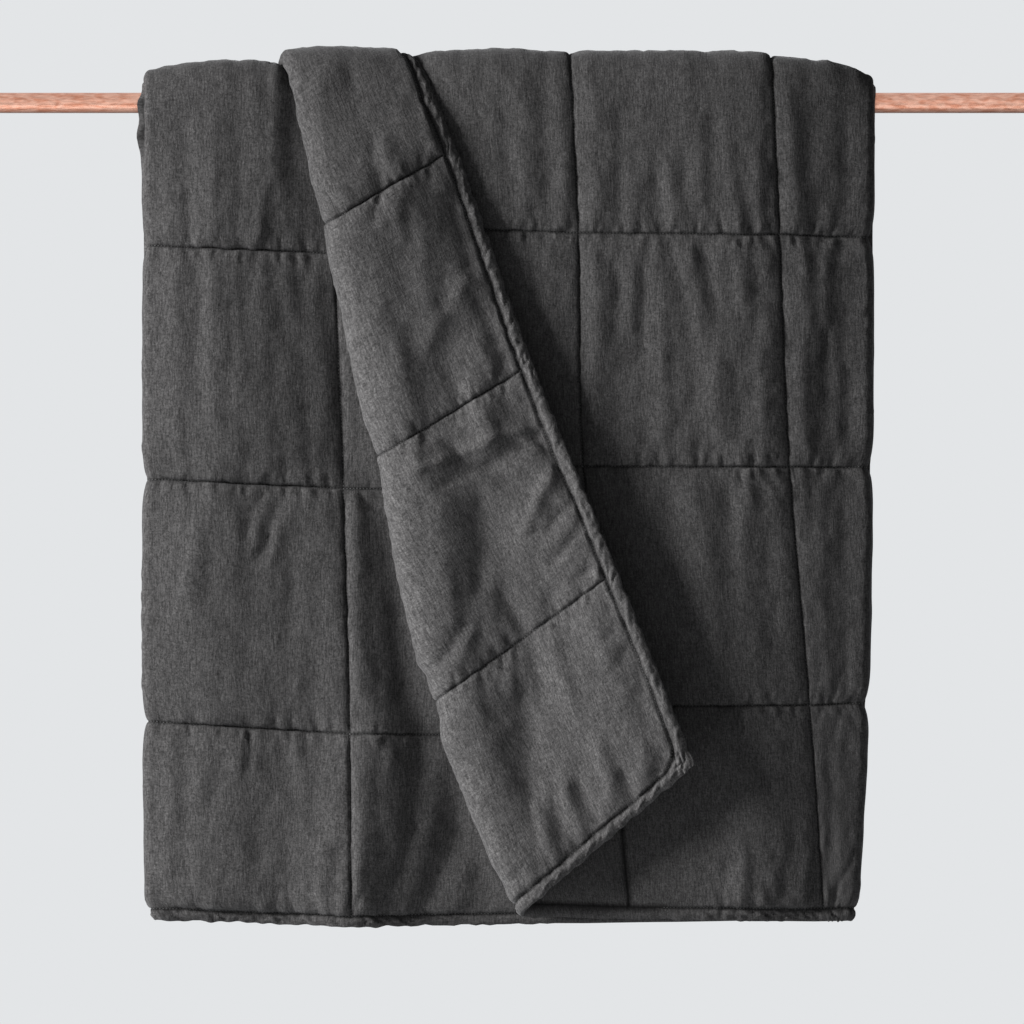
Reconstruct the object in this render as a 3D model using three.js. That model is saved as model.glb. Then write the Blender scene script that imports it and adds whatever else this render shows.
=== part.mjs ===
import * as THREE from 'three';

// Box-quilted linen quilt, folded in three across its width and hung over a round copper rod.
// Millimetres, +Z up, front towards -Y. The origin is the middle of the rod's axis.

// The rod
const ROD_RADIUS = 11.1;
const ROD_LENGTH = 1200;
const ROD_SIDES = 48;

// The cloth: width across the folds, and the distances of its sewn lines
const CLOTH_WIDTH = 2200;
const COLUMN = 220;
const HEM = 13;
const COLUMN_SEAMS = [1, 2, 3, 4, 5, 6, 7, 8, 9].map((n) => n * COLUMN);
const RIGHT_FOLD = 762;
const LEFT_FOLD = 1556;

// Half of the cloth's thickness in the middle of a square, on a sewn line, in the hem and at its edge
const PUFF_HALF = 6.2;
const SEAM_HALF = 1.4;
const HEM_HALF = 2.6;
const EDGE_HALF = 1.1;
const PUFF_RISE = 36;
const HEM_STITCH_HALF = 1.2;

// How the layers stack up, counted outwards from the rod
const ROD_GAP = 0.4;
const SEAT_GAP = 0.1;
const LAYER_PITCH = 15;
const LAYER_GAP = 0.8;
const FALL_GAP = 6;
const FALL_CLOSES = 260;
const FLAP_ROLL = 9;
const FLAP_EDGE = 5;
const FLAP_SEAM_BEHIND = 10;
const LIFT_CURVE = 1.4;

// The soft folds start a little in from the flap's fold, and fade where a layer goes under another
const FOLDS_START = 0.2;
const SHOW_FADE = 60;

// The hang path runs up the front fall, over the rod and down the rear fall. It is 0 where the front
// fall meets the level of the rod's axis and BACK_START where the rear fall leaves it.
const PATH_RADIUS = 45;
const BACK_START = Math.PI * PATH_RADIUS;
const FADE_START = 20;
const FADE_END = 130;

// The sewn lines that run across, from the front hem over the rod to the rear hem. v is the place
// along the cloth, flapWidth the distance across it from its hem to the fold of the turned-back flap,
// and lift the height of the flap's hem over the panel under it.
const SEWN_ROWS = [
  { v: 0, flapWidth: 253, lift: 25 },
  { v: 236, flapWidth: 240, lift: 27 },
  { v: 495, flapWidth: 188, lift: 19 },
  { v: 746, flapWidth: 162, lift: 9 },
  { v: 996, flapWidth: 125, lift: 0 },
  { v: 1236, flapWidth: 100, lift: 4 },
  { v: 1474, flapWidth: 78, lift: 4 },
  { v: 1707, flapWidth: 58, lift: 3 },
  { v: 1913, flapWidth: 40, lift: 2 },
];

// Where those lines lie on the top panel. Each pair is x and the hang path, for the flap's hem and
// fold, for the second and third column seams and for the fold at the right edge.
const TOP_PANEL = [
  { hem: [198, -718], fold: [6, -884], second: [128, -888], third: [339, -890], right: [374, -886] },
  { hem: [114, -508], fold: [-84, -649], second: [106, -655], third: [322, -654], right: [386, -652] },
  { hem: [23, -284], fold: [-146, -384], second: [77, -395], third: [300, -396], right: [390, -396] },
  { hem: [-60, -51], fold: [-203, -133], second: [72, -142], third: [289, -144], right: [391, -147] },
  { hem: [-147, 162], fold: [-258, 106], second: [61, 104], third: [279, 103], right: [394, 100] },
  { hem: [-194, 381], fold: [-288, 356], second: [54, 352], third: [272, 352], right: [391, 352] },
  { hem: [-246, 613], fold: [-321, 594], second: [48, 590], third: [267, 590], right: [388, 590] },
  { hem: [-298, 838], fold: [-352, 825], second: [43, 824], third: [263, 822], right: [383, 820] },
  { hem: [-344, 1027], fold: [-381, 1019], second: [41, 1020], third: [261, 1021], right: [368, 1018] },
];

// The same lines on the panel under it: the fold at the left edge, the eighth column seam, the edge
const UNDER_PANEL = [
  { left: [-397, -884], eighth: [-174, -892], edge: [266, -889] },
  { left: [-400, -672], eighth: [-175, -685], edge: [265, -690] },
  { left: [-400, -409], eighth: [-183, -419], edge: [257, -425] },
  { left: [-400, -156], eighth: [-192, -164], edge: [248, -172] },
  { left: [-401, 98], eighth: [-196, 90], edge: [244, 84] },
  { left: [-400, 344], eighth: [-201, 338], edge: [239, 334] },
  { left: [-397, 582], eighth: [-202, 578], edge: [238, 574] },
  { left: [-396, 816], eighth: [-201, 812], edge: [239, 810] },
  { left: [-391, 1018], eighth: [-198, 1020], edge: [242, 1018] },
];

// Where the layers are pressed together over the rod: the pitch from each x on
const TOP_PITCH = [
  { from: -400, pitch: 16.2 },
  { from: -282, pitch: 16.2 },
  { from: -265, pitch: 12.4 },
  { from: -232, pitch: 11.4 },
  { from: -175, pitch: 11.4 },
  { from: -50, pitch: 14.8 },
  { from: 250, pitch: 15 },
  { from: 350, pitch: 15 },
  { from: 394, pitch: 12 },
];

// On the rear fall, just below the rod, the left fold stands out a little
const LEFT_BULGE = { s: 178, half: 48, out: 6 };

// The main soft folds, in the picture plane: middle, direction in degrees from upright, length,
// width and height. on names the layer that it shows on.
const SOFT_FOLDS = [
  { on: 'flap', x: -120, s: -100, lean: -30, length: 90, width: 30, height: 3 },
  { on: 'flap', x: -30, s: -345, lean: 10, length: 130, width: 34, height: 5 },
  { on: 'flap', x: -20, s: -400, lean: 62, length: 150, width: 26, height: -5 },
  { on: 'flap', x: 50, s: -400, lean: 32, length: 170, width: 24, height: -6 },
  { on: 'flap', x: 20, s: -620, lean: 22, length: 130, width: 30, height: -5 },
  { on: 'under', x: -95, s: -780, lean: -8, length: 220, width: 36, height: 5 },
  { on: 'under', x: -345, s: -500, lean: -12, length: 150, width: 30, height: 3 },
  { on: 'top', x: 190, s: -560, lean: 4, length: 420, width: 70, height: 3 },
];

// How far to each side of a place the cloth's direction is taken
const PROBE = 2;

const clamp = THREE.MathUtils.clamp;
const mix = THREE.MathUtils.lerp;
const ease = THREE.MathUtils.smoothstep;

// A smooth curve through a column of values, at t between one row and the next
function bend(values, row, t) {
  const last = values.length - 1;
  const p1 = values[row];
  const p2 = values[row + 1];
  const p0 = row > 0 ? values[row - 1] : 2 * p1 - p2;
  const p3 = row + 2 <= last ? values[row + 2] : 2 * p2 - p1;
  const square = (2 * p0 - 5 * p1 + 4 * p2 - p3) * t ** 2;
  const cube = (3 * p1 - p0 - 3 * p2 + p3) * t ** 3;
  return 0.5 * (2 * p1 + (p2 - p0) * t + square + cube);
}

const ROW_LINES = SEWN_ROWS.map((line) => line.v);
const CLOTH_LENGTH = ROW_LINES.at(-1);

// The tables turned into one list of values for each named column
const TABLE_COLUMNS = {
  flapWidth: SEWN_ROWS.map((line) => line.flapWidth),
  lift: SEWN_ROWS.map((line) => line.lift),
};
for (const table of [TOP_PANEL, UNDER_PANEL]) {
  for (const name of Object.keys(table[0])) {
    TABLE_COLUMNS[`${name}X`] = table.map((line) => line[name][0]);
    TABLE_COLUMNS[`${name}S`] = table.map((line) => line[name][1]);
  }
}

// Where v lies between two sewn lines, and what the tables say there
function rowAt(v) {
  let index = ROW_LINES.findIndex((line) => v < line) - 1;
  if (index < 0) {
    index = v < 0 ? 0 : ROW_LINES.length - 2;
  }
  const t = (v - ROW_LINES[index]) / (ROW_LINES[index + 1] - ROW_LINES[index]);
  const row = {};
  for (const [name, values] of Object.entries(TABLE_COLUMNS)) {
    row[name] = bend(values, index, t);
  }
  return row;
}

// 1 over the rod, fading to 0 on both falls
function overRod(s) {
  return ease(s, -FADE_END, -FADE_START) * (1 - ease(s, BACK_START + FADE_START, BACK_START + FADE_END));
}

// The distance from one layer's middle to the next
function pitchAt(x, s) {
  let top = x < TOP_PITCH[0].from ? TOP_PITCH[0].pitch : TOP_PITCH.at(-1).pitch;
  for (let i = 0; i + 1 < TOP_PITCH.length; i += 1) {
    const here = TOP_PITCH[i];
    const next = TOP_PITCH[i + 1];
    if (x >= here.from && x < next.from) {
      top = mix(here.pitch, next.pitch, (x - here.from) / (next.from - here.from));
    }
  }
  return mix(LAYER_PITCH, top, overRod(s));
}

// The height of the soft folds of one layer at x and s
function softFolds(layer, x, s) {
  let height = 0;
  for (const fold of SOFT_FOLDS) {
    if (fold.on === layer) {
      const lean = THREE.MathUtils.degToRad(fold.lean);
      const along = (x - fold.x) * Math.sin(lean) * -1 + (s - fold.s) * Math.cos(lean);
      const across = (x - fold.x) * Math.cos(lean) + (s - fold.s) * Math.sin(lean);
      const falloff = (along / (fold.length / 2)) ** 2 + (across / (fold.width / 2)) ** 2;
      height += fold.height * Math.exp(-falloff);
    }
  }
  return height;
}

// A point of the layer that lies depth above the rod's surface, at x and s along the hang path
function hang(x, s, depth) {
  const drop = s < 0 ? -s : Math.max(s - BACK_START, 0);
  const core = mix(ROD_RADIUS + ROD_GAP, FALL_GAP, ease(drop, 0, FALL_CLOSES));
  if (s <= 0) {
    return new THREE.Vector3(x, -(core + depth), s);
  }
  if (s >= BACK_START) {
    return new THREE.Vector3(x, core + depth, BACK_START - s);
  }
  const angle = s / PATH_RADIUS;
  const radius = core + depth;
  return new THREE.Vector3(x, -radius * Math.cos(angle), radius * Math.sin(angle));
}

// The top panel lies on two layers, and on one past the under panel's free edge
function topDepth(x, s, row) {
  const layersUnder = 2 - ease(x, row.edgeX - HEM, row.rightX - 2 * HEM);
  return pitchAt(x, s) * (layersUnder + 0.5);
}

// How the flap's fold runs at v: its direction up the hang path and across, the radius of its roll,
// and half the length of cloth in that roll
function flapFrame(v, row) {
  const below = rowAt(v - PROBE);
  const above = rowAt(v + PROBE);
  const up = new THREE.Vector2(above.foldX - below.foldX, above.foldS - below.foldS).normalize();
  const across = new THREE.Vector2(up.y, -up.x);
  const roll = mix(FLAP_ROLL, pitchAt(row.foldX, row.foldS) / 2, overRod(row.foldS));
  return { up, across, roll, slope: across.y / across.x, half: (Math.PI / 2) * roll / across.x };
}

// x and s in the roll of the flap's fold, after a turn of 0 on the panel to a half turn on the flap
function rollPlace(row, frame, turn) {
  const out = frame.roll + FLAP_EDGE - frame.roll * Math.sin(turn);
  const slide = frame.roll * (turn - Math.PI / 2) * frame.slope;
  const x = row.foldX + out * frame.across.x + slide * frame.up.x;
  const s = row.foldS + out * frame.across.y + slide * frame.up.y;
  return [x, s];
}

// A place on the flap or in the roll at its fold
function flapPlace(u, row, frame) {
  const turn = clamp((row.flapWidth + frame.half - u) / (2 * frame.half), 0, 1) * Math.PI;
  const flat = row.flapWidth - frame.half;
  const reach = clamp((flat - u) / flat, 0, 1);
  const [rollX, rollS] = rollPlace(row, frame, turn);
  const x = mix(rollX, row.hemX, reach);
  const s = mix(rollS, row.hemS, reach);
  const rise = frame.roll * (1 - Math.cos(turn)) + row.lift * reach ** LIFT_CURVE;
  return [x, s, topDepth(x, s, row) + rise + softFolds('flap', x, s) * ease(reach, 0, FOLDS_START)];
}

const SIDE_ROLL = LAYER_PITCH / 2;
const SIDE_HALF = (Math.PI / 2) * SIDE_ROLL;

// Where the middle of the cloth's thickness lies, at u across the folds and v along the cloth: its x,
// its place on the hang path and its depth over the rod
function place(u, row, frame) {
  const flapEnd = row.flapWidth + frame.half;
  if (u <= flapEnd) {
    return flapPlace(u, row, frame);
  }
  const rightX = row.rightX - PUFF_HALF - SIDE_ROLL;
  const beside = (row.leftS - LEFT_BULGE.s) / LEFT_BULGE.half;
  const leftX = row.leftX + PUFF_HALF + SIDE_ROLL - LEFT_BULGE.out * Math.exp(-beside * beside);
  const rightStart = RIGHT_FOLD - SIDE_HALF;
  const rightEnd = RIGHT_FOLD + SIDE_HALF;
  const leftStart = LEFT_FOLD - SIDE_HALF;
  const leftEnd = LEFT_FOLD + SIDE_HALF;
  if (u <= rightStart) {
    const [x, s] = between([
      [flapEnd, ...rollPlace(row, frame, 0)],
      [COLUMN_SEAMS[1], row.secondX, row.secondS],
      [COLUMN_SEAMS[2], row.thirdX, row.thirdS],
      [rightStart, rightX, row.rightS],
    ], u);
    return [x, s, topDepth(x, s, row) + softFolds('top', x, s) * ease(u, flapEnd, flapEnd + SHOW_FADE)];
  }
  if (u < leftEnd) {
    const along = (u - rightStart) / (leftEnd - rightStart);
    const s = mix(row.rightS, row.leftS, along);
    if (u < rightEnd) {
      const turn = ((u - rightStart) / (2 * SIDE_HALF)) * Math.PI;
      const pitch = pitchAt(rightX, s);
      return [rightX + SIDE_ROLL * Math.sin(turn), s, pitch + (pitch / 2) * Math.cos(turn)];
    }
    if (u > leftStart) {
      const turn = ((leftEnd - u) / (2 * SIDE_HALF)) * Math.PI;
      const pitch = pitchAt(leftX, s);
      return [leftX - SIDE_ROLL * Math.sin(turn), s, pitch + (pitch / 2) * Math.cos(turn)];
    }
    const x = mix(rightX, leftX, (u - rightEnd) / (leftStart - rightEnd));
    return [x, s, pitchAt(x, s) / 2];
  }
  const [x, s] = between([
    [leftEnd, leftX, row.leftS],
    [COLUMN_SEAMS[7], row.eighthX, row.eighthS],
    [CLOTH_WIDTH, row.edgeX, row.edgeS],
  ], u);
  const showing = 1 - ease(x, row.foldX, row.foldX + SHOW_FADE);
  return [x, s, pitchAt(x, s) * 1.5 + softFolds('under', x, s) * showing];
}

// The middle of the cloth's thickness as a point
function middle(u, v) {
  const row = rowAt(v);
  return hang(...place(u, row, flapFrame(v, row)));
}

// x and s on the straight way from one stop to the next
function between(stops, u) {
  const next = Math.max(stops.findIndex((stop) => u <= stop[0]), 1);
  const [u0, x0, s0] = stops[next - 1];
  const [u1, x1, s1] = stops[next];
  const t = (u - u0) / (u1 - u0);
  return [mix(x0, x1, t), mix(s0, s1, t)];
}

// How full the cloth is at a distance from the nearest sewn line: steep beside it, then level
function fullness(distance) {
  const near = 1 - clamp(distance / PUFF_RISE, 0, 1);
  return Math.sqrt(1 - near * near);
}

function nearestLine(value, lines) {
  return Math.min(...lines.map((line) => Math.abs(value - line)));
}

// The first column seam runs just behind the flap's fold where the flap is wider than a column
function firstSeam(row, frame) {
  return Math.max(COLUMN_SEAMS[0], row.flapWidth + frame.half + FLAP_SEAM_BEHIND);
}

// Half of the cloth's thickness: thin at the edge and on its sewn lines, full between them
function halfThickness(u, v, row, frame) {
  const fromEdge = Math.min(u, CLOTH_WIDTH - u, v, CLOTH_LENGTH - v);
  if (fromEdge < HEM) {
    const inside = fromEdge / HEM;
    return mix(EDGE_HALF, HEM_STITCH_HALF, inside) + (HEM_HALF - EDGE_HALF) * Math.sin(Math.PI * inside);
  }
  const seams = [HEM, firstSeam(row, frame), ...COLUMN_SEAMS.slice(1), CLOTH_WIDTH - HEM];
  const lines = [HEM, ...ROW_LINES.slice(1, -1), CLOTH_LENGTH - HEM];
  const full = fullness(nearestLine(u, seams)) * fullness(nearestLine(v, lines));
  return mix(SEAM_HALF, PUFF_HALF, full);
}

// Where the faces are stepped across a square: close beside its sewn lines and wide between them
const SQUARE_STEPS = [0.05, 0.22, 0.78, 0.95, 1];
const HALF_STEPS = [0.08, 0.5, 0.92, 1];
const ROWS_IN_FRONT = 4;
const ROD_STEPS = {
  4: [0.06, 0.2, 0.3, 0.4, 0.5, 0.58, 0.66, 0.74, 0.82, 0.9, 1],
  5: [0.07, 0.15, 0.25, 0.6, 0.94, 1],
};
const ROLL_STEPS = [0.2, 0.4, 0.6, 0.8, 1];

// The places across the cloth, from the flap's hem round both side folds to the under panel's edge
function columnPlaces(row, frame) {
  const stations = [
    [HEM, [0.5, 1]],
    [row.flapWidth - frame.half, [0.08, 0.3, 0.55, 0.8, 1]],
    [row.flapWidth + frame.half, ROLL_STEPS],
    [firstSeam(row, frame), [1]],
    [COLUMN_SEAMS[1], HALF_STEPS],
    [COLUMN_SEAMS[2], SQUARE_STEPS],
    [RIGHT_FOLD - SIDE_HALF, HALF_STEPS],
    [RIGHT_FOLD + SIDE_HALF, ROLL_STEPS],
    [COLUMN_SEAMS[3], [0.5, 1]],
    [COLUMN_SEAMS[4], [0.5, 1]],
    [COLUMN_SEAMS[5], [0.5, 1]],
    [COLUMN_SEAMS[6], [0.5, 1]],
    [LEFT_FOLD - SIDE_HALF, [1]],
    [LEFT_FOLD + SIDE_HALF, ROLL_STEPS],
    [COLUMN_SEAMS[7], SQUARE_STEPS],
    [COLUMN_SEAMS[8], [0.12, 0.5, 1]],
    [CLOTH_WIDTH - HEM, [0.5, 1]],
    [CLOTH_WIDTH, [0.5, 1]],
  ];
  return stepsBetween(stations);
}

// All the places between stations, each of which has its end and the steps up to it
function stepsBetween(stations) {
  const places = [0];
  let start = 0;
  for (const [end, steps] of stations) {
    for (const step of steps) {
      places.push(mix(start, end, step));
    }
    start = end;
  }
  return places;
}

// The places along the cloth, from the front hem over the rod to the rear hem
function rowPlaces() {
  const stations = [[HEM, [0.5, 1]]];
  for (let i = 1; i < ROW_LINES.length; i += 1) {
    const last = i === ROW_LINES.length - 1;
    const end = last ? CLOTH_LENGTH - HEM : ROW_LINES[i];
    stations.push([end, ROD_STEPS[i] ?? (i < ROWS_IN_FRONT ? SQUARE_STEPS : HALF_STEPS)]);
  }
  stations.push([CLOTH_LENGTH, [0.5, 1]]);
  return stepsBetween(stations);
}

// The inner face of the layer on the rod keeps to the rod's round; every other face is puffed
function facePoint(u, v, side, row, frame) {
  const [x, s, depth] = place(u, row, frame);
  const point = hang(x, s, depth);
  const west = middle(clamp(u - PROBE, 0, CLOTH_WIDTH), v);
  const east = middle(clamp(u + PROBE, 0, CLOTH_WIDTH), v);
  const south = middle(u, clamp(v - PROBE, 0, CLOTH_LENGTH));
  const north = middle(u, clamp(v + PROBE, 0, CLOTH_LENGTH));
  const normal = new THREE.Vector3().crossVectors(east.sub(west), north.sub(south)).normalize();
  const pitch = pitchAt(x, s);
  const room = Math.min(PUFF_HALF, pitch / 2 - LAYER_GAP, frame.roll - LAYER_GAP) / PUFF_HALF;
  const onRod = u > RIGHT_FOLD && u < LEFT_FOLD;
  let half = halfThickness(u, v, row, frame) * room;
  if (onRod && side > 0) {
    const seat = ease(Math.min(u - RIGHT_FOLD, LEFT_FOLD - u), 0, 3 * SIDE_HALF);
    half = mix(half, pitch / 2 - SEAT_GAP, overRod(s) * seat);
  }
  return point.addScaledVector(normal, side * half);
}

// Two faces of quads, the outer one first, joined all round the edge
function quiltGeometry() {
  const rows = rowPlaces();
  const positions = [];
  let across = 0;
  for (const v of rows) {
    const row = rowAt(v);
    const frame = flapFrame(v, row);
    const places = columnPlaces(row, frame);
    for (const side of [1, -1]) {
      for (const u of places) {
        positions.push(...facePoint(u, v, side, row, frame).toArray());
      }
    }
    across = places.length;
  }
  const index = [];
  const at = (row, side, column) => (row * 2 + side) * across + column;
  const quad = (a, b, c, d) => index.push(a, b, c, a, c, d);
  for (let r = 0; r + 1 < rows.length; r += 1) {
    for (let c = 0; c + 1 < across; c += 1) {
      quad(at(r, 0, c), at(r, 0, c + 1), at(r + 1, 0, c + 1), at(r + 1, 0, c));
      quad(at(r, 1, c), at(r + 1, 1, c), at(r + 1, 1, c + 1), at(r, 1, c + 1));
    }
    quad(at(r, 0, 0), at(r + 1, 0, 0), at(r + 1, 1, 0), at(r, 1, 0));
    quad(at(r, 0, across - 1), at(r, 1, across - 1), at(r + 1, 1, across - 1), at(r + 1, 0, across - 1));
  }
  const end = rows.length - 1;
  for (let c = 0; c + 1 < across; c += 1) {
    quad(at(0, 0, c), at(0, 1, c), at(0, 1, c + 1), at(0, 0, c + 1));
    quad(at(end, 0, c), at(end, 0, c + 1), at(end, 1, c + 1), at(end, 1, c));
  }
  const geometry = new THREE.BufferGeometry();
  geometry.setAttribute('position', new THREE.Float32BufferAttribute(positions, 3));
  geometry.setIndex(index);
  geometry.computeVertexNormals();
  return geometry;
}

function makeQuilt() {
  const linen = new THREE.MeshStandardMaterial({ color: 0x454545, roughness: 0.95, metalness: 0 });
  const quilt = new THREE.Mesh(quiltGeometry(), linen);
  quilt.name = 'quilt';
  return quilt;
}

function makeRod() {
  const copper = new THREE.MeshStandardMaterial({ color: 0xd98b6c, roughness: 0.35, metalness: 1 });
  const round = new THREE.CylinderGeometry(ROD_RADIUS, ROD_RADIUS, ROD_LENGTH, ROD_SIDES);
  const rod = new THREE.Mesh(round, copper);
  rod.name = 'rod';
  rod.rotation.z = Math.PI / 2;
  return rod;
}

const part = new THREE.Group();
part.add(makeQuilt(), makeRod());
export default part;
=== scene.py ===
"""A box-quilted linen quilt, folded in three and hung over a copper rod, dressed on its CAD frame."""

import math
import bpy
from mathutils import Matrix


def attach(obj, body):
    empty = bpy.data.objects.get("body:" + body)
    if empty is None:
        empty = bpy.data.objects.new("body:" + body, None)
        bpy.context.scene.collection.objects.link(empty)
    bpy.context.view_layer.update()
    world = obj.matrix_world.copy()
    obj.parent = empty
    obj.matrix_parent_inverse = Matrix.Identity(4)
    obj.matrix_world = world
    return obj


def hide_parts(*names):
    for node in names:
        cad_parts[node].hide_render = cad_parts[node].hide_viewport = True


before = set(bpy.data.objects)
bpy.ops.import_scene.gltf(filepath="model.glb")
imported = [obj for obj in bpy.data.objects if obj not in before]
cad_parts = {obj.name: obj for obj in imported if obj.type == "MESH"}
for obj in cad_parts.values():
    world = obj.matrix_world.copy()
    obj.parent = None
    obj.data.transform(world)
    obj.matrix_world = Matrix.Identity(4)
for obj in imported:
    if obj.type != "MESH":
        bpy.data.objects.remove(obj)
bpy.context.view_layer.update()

from types import SimpleNamespace

import bmesh
import bpy
import numpy as np
from mathutils import Matrix, Vector

bl_info = {
    "name": "Box-quilted linen quilt",
    "version": (1, 0, 0),
    "blender": (4, 5, 0),
    "location": "View3D > Sidebar > Quilt",
    "description": "Sews a linen quilt, folds it in three and hangs it over a copper rod",
    "category": "Add Mesh",
}

# The cloth

# Millimetres, +Z up, front towards -Y, the origin in the middle of the rod's axis. u runs across the
# folds and v along the cloth, from its front hem over the rod to its rear hem. side is 1 on the face
# that lies outside on the top panel, and -1 on the other one.
MM = 0.001
ROD_RADIUS = 11.1
SQUARE = 220.0
CLOTH_WIDTH = 10 * SQUARE
COLUMN_SEAMS = np.arange(1, 10) * SQUARE
HEM = 15.0
CORNER_ROUND = 26.0
CORNER_MEET = 0.3
RIGHT_FOLD = 762.0
LEFT_FOLD = 1556.0

# Half of the cloth's thickness in a square, on a sewn line, in the hem, at its edge and its stitches,
# and the least that it may be anywhere
PUFF_HALF = 6.2
SEAM_HALF = 1.2
HEM_HALF = 4.6
EDGE_HALF = 1.1
HEM_STITCH_HALF = 1.0
THIN = 0.7

# How far from a sewn line the cloth has its full thickness, in a square and beside the hem, the
# narrow shoulder that stands up right beside the line, and the low cushion beside the columns
PUFF_RISE = 36.0
HEM_RISE = 22.0
SEAM_SHOULDER = 1.4
SHOULDER_RISE = 4.0
COLUMN_SHOULDER_RISE = 5.5
SHOULDER_UNEVEN = {"share": 0.5, "wave": 30.0}
COLUMN_CUSHION = {"rise": 0.7, "from_seam": 12.0, "width": 10.0}

# How the layers stack up, counted outwards from the rod
ROD_GAP = 0.4
SEAT_GAP = 0.1
LAYER_PITCH = 15.0
LAYER_GAP = 0.8
FALL_GAP = 6.0
FALL_CLOSES = 260.0
FLAP_ROLL = 9.0
FLAP_EDGE = 5.0
FLAP_SEAM_BEHIND = 10.0
EDGE_OUT = 3.6

# Half the step over which a slope is measured
PROBE = 2.0

# The hang path s runs up the front fall, over the rod and down the rear fall
PATH_RADIUS = 45.0
BACK_START = math.pi * PATH_RADIUS
FADE_START = 20.0
FADE_END = 130.0
SIDE_ROLL = LAYER_PITCH / 2
SIDE_HALF = math.pi / 2 * SIDE_ROLL
RIGHT_START, RIGHT_END = RIGHT_FOLD - SIDE_HALF, RIGHT_FOLD + SIDE_HALF
LEFT_START, LEFT_END = LEFT_FOLD - SIDE_HALF, LEFT_FOLD + SIDE_HALF

# The sewn lines that run across: the place along the cloth, the width of the turned-back flap there,
# how high the flap's hem stands over the panel under it, how high the flap bulges by its fold, how
# deep it sinks further in, how full its face is in the middle, and how far the under panel sinks
# towards the flap's fold
SEWN_ROWS = {
    "v": (0, 236, 495, 746, 996, 1236, 1474, 1707, 1913),
    "flap_width": (253, 240, 188, 162, 125, 100, 78, 58, 40),
    "lift": (36, 34, 13, -6, -4, 4, 4, 3, 2),
    "bulge": (20, 23, 26, 20, 0, 0, 0, 0, 0),
    "dip": (1, 9, 5, 0, 0, 0, 0, 0, 0),
    "flap_crown": (-2, -2, 0, 2, -4, 0, 1, 1, 1),
    "under_dip": (5.5, 5.5, 4.5, 2.0, 0.5, 1, 1, 1, 1),
}
ROW_LINES = np.array(SEWN_ROWS["v"], float)
CLOTH_LENGTH = float(ROW_LINES[-1])
LIFT_CURVE = 1.8
BULGE_WIDTH = 50.0
BULGE_FALL = 1.2
FLAP_CROWN_CURVE = 0.8
UNDER_DIP = {"width": 62.0, "past": 1.15, "curve": 1.3}

# Where those lines lie: x and the hang path, for each column that is named
PANELS = {
    "hem_x": (198, 114, 23, -60, -147, -194, -246, -298, -344),
    "hem_s": (-718, -508, -284, -51, 162, 381, 613, 838, 1027),
    "fold_x": (6, -84, -146, -203, -258, -288, -321, -352, -381),
    "fold_s": (-884, -649, -384, -133, 106, 356, 594, 825, 1019),
    "second_x": (128, 106, 77, 72, 61, 54, 48, 43, 41),
    "second_s": (-888, -655, -395, -142, 104, 352, 590, 824, 1020),
    "third_x": (339, 322, 300, 289, 279, 272, 267, 263, 261),
    "third_s": (-890, -654, -396, -144, 103, 352, 590, 822, 1021),
    "right_x": (374, 386, 390, 391, 394, 391, 388, 383, 368),
    "right_s": (-889, -652, -396, -147, 100, 352, 590, 820, 1018),
    "left_x": (-397, -400, -400, -400, -401, -400, -397, -396, -391),
    "left_s": (-888, -672, -409, -156, 98, 344, 582, 816, 1018),
    "eighth_x": (-174, -175, -183, -192, -196, -201, -202, -201, -198),
    "eighth_s": (-896, -685, -419, -164, 90, 338, 578, 812, 1020),
    "edge_x": (266, 265, 257, 248, 244, 239, 238, 239, 242),
    "edge_s": (-889, -690, -425, -172, 84, 334, 574, 810, 1018),
}

# The front hem draws the side folds in, and is shorter in the outer layers than in the inner one
HEM_DRAW = {"start": 4.0, "end": 28.0, "left": 8.0, "right": 4.0}
SHORT = {"outer": 1.0, "inner": 0.4, "along": 30.0, "across": 60.0}

# Where the layers are pressed together over the rod: the pitch at each x
TOP_PITCH = {
    "x": (-400, -282, -265, -232, -175, -50, 250, 350, 394),
    "pitch": (16.2, 16.2, 12.4, 11.4, 11.4, 14.8, 15, 15, 12),
}

# How far the cloth swells over the rod at each x, and the flap's own share, which is below zero at
# the flap's fold
TOP_SWELL = {
    "x": (-402, -385, -350, -120, -100, 40, 70, 300, 345, 375, 393),
    "rise": (-17, 0, 3.0, 3.5, 5, 4.5, 3, 2.5, 7, 2, -11),
}
FLAP_SWELL = {"rise": 3.0, "from_x": -258.0, "to_x": -205.0}

# The inner layer looks out of the fold at the upper left: how far, where round the fold's turn in
# radians, the groove before it, its twist, and the painted shade in its slit
LEFT_PEEK = {
    "s": -23.0, "half": 38.0, "power": 4,
    "out": 5.5, "turn": 2.4, "turn_width": 0.45,
    "groove": 4.0, "groove_turn": 1.5, "groove_width": 0.35,
    "twist": 2.4, "twist_wave": 6.0, "twist_lean": 2.5, "twist_before": 5.0, "twist_width": 7.0,
}
SLIT_SHADE = {"turn": 1.75, "width": 0.6, "wave": 5.5, "lean": 4.0, "broken": 0.3, "share": 0.85}

# The large soft folds, in the picture plane: middle, direction in degrees from upright, length,
# width and height. They set in past the fold, over this share of the flap and this much of a panel.
SOFT_FOLDS = {
    "flap": (
        (-120, -100, -30, 90, 30, 3.0),
        (-30, -345, 10, 130, 34, 5.0),
        (-20, -400, 62, 150, 26, -5.0),
        (50, -400, 32, 170, 24, -6.0),
        (14, -680, 2, 170, 44, -5.5),
        (104, -690, 18, 200, 60, 3.5),
        (-10, -470, 6, 150, 40, -3.0),
    ),
    "under": (
        (-95, -780, -8, 220, 36, 5.0),
        (-345, -500, -12, 150, 30, 3.0),
    ),
    "top": ((190, -560, 4, 420, 70, 3.0),),
}
FOLDS_START = 0.2
SHOW_FADE = 60.0

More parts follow.
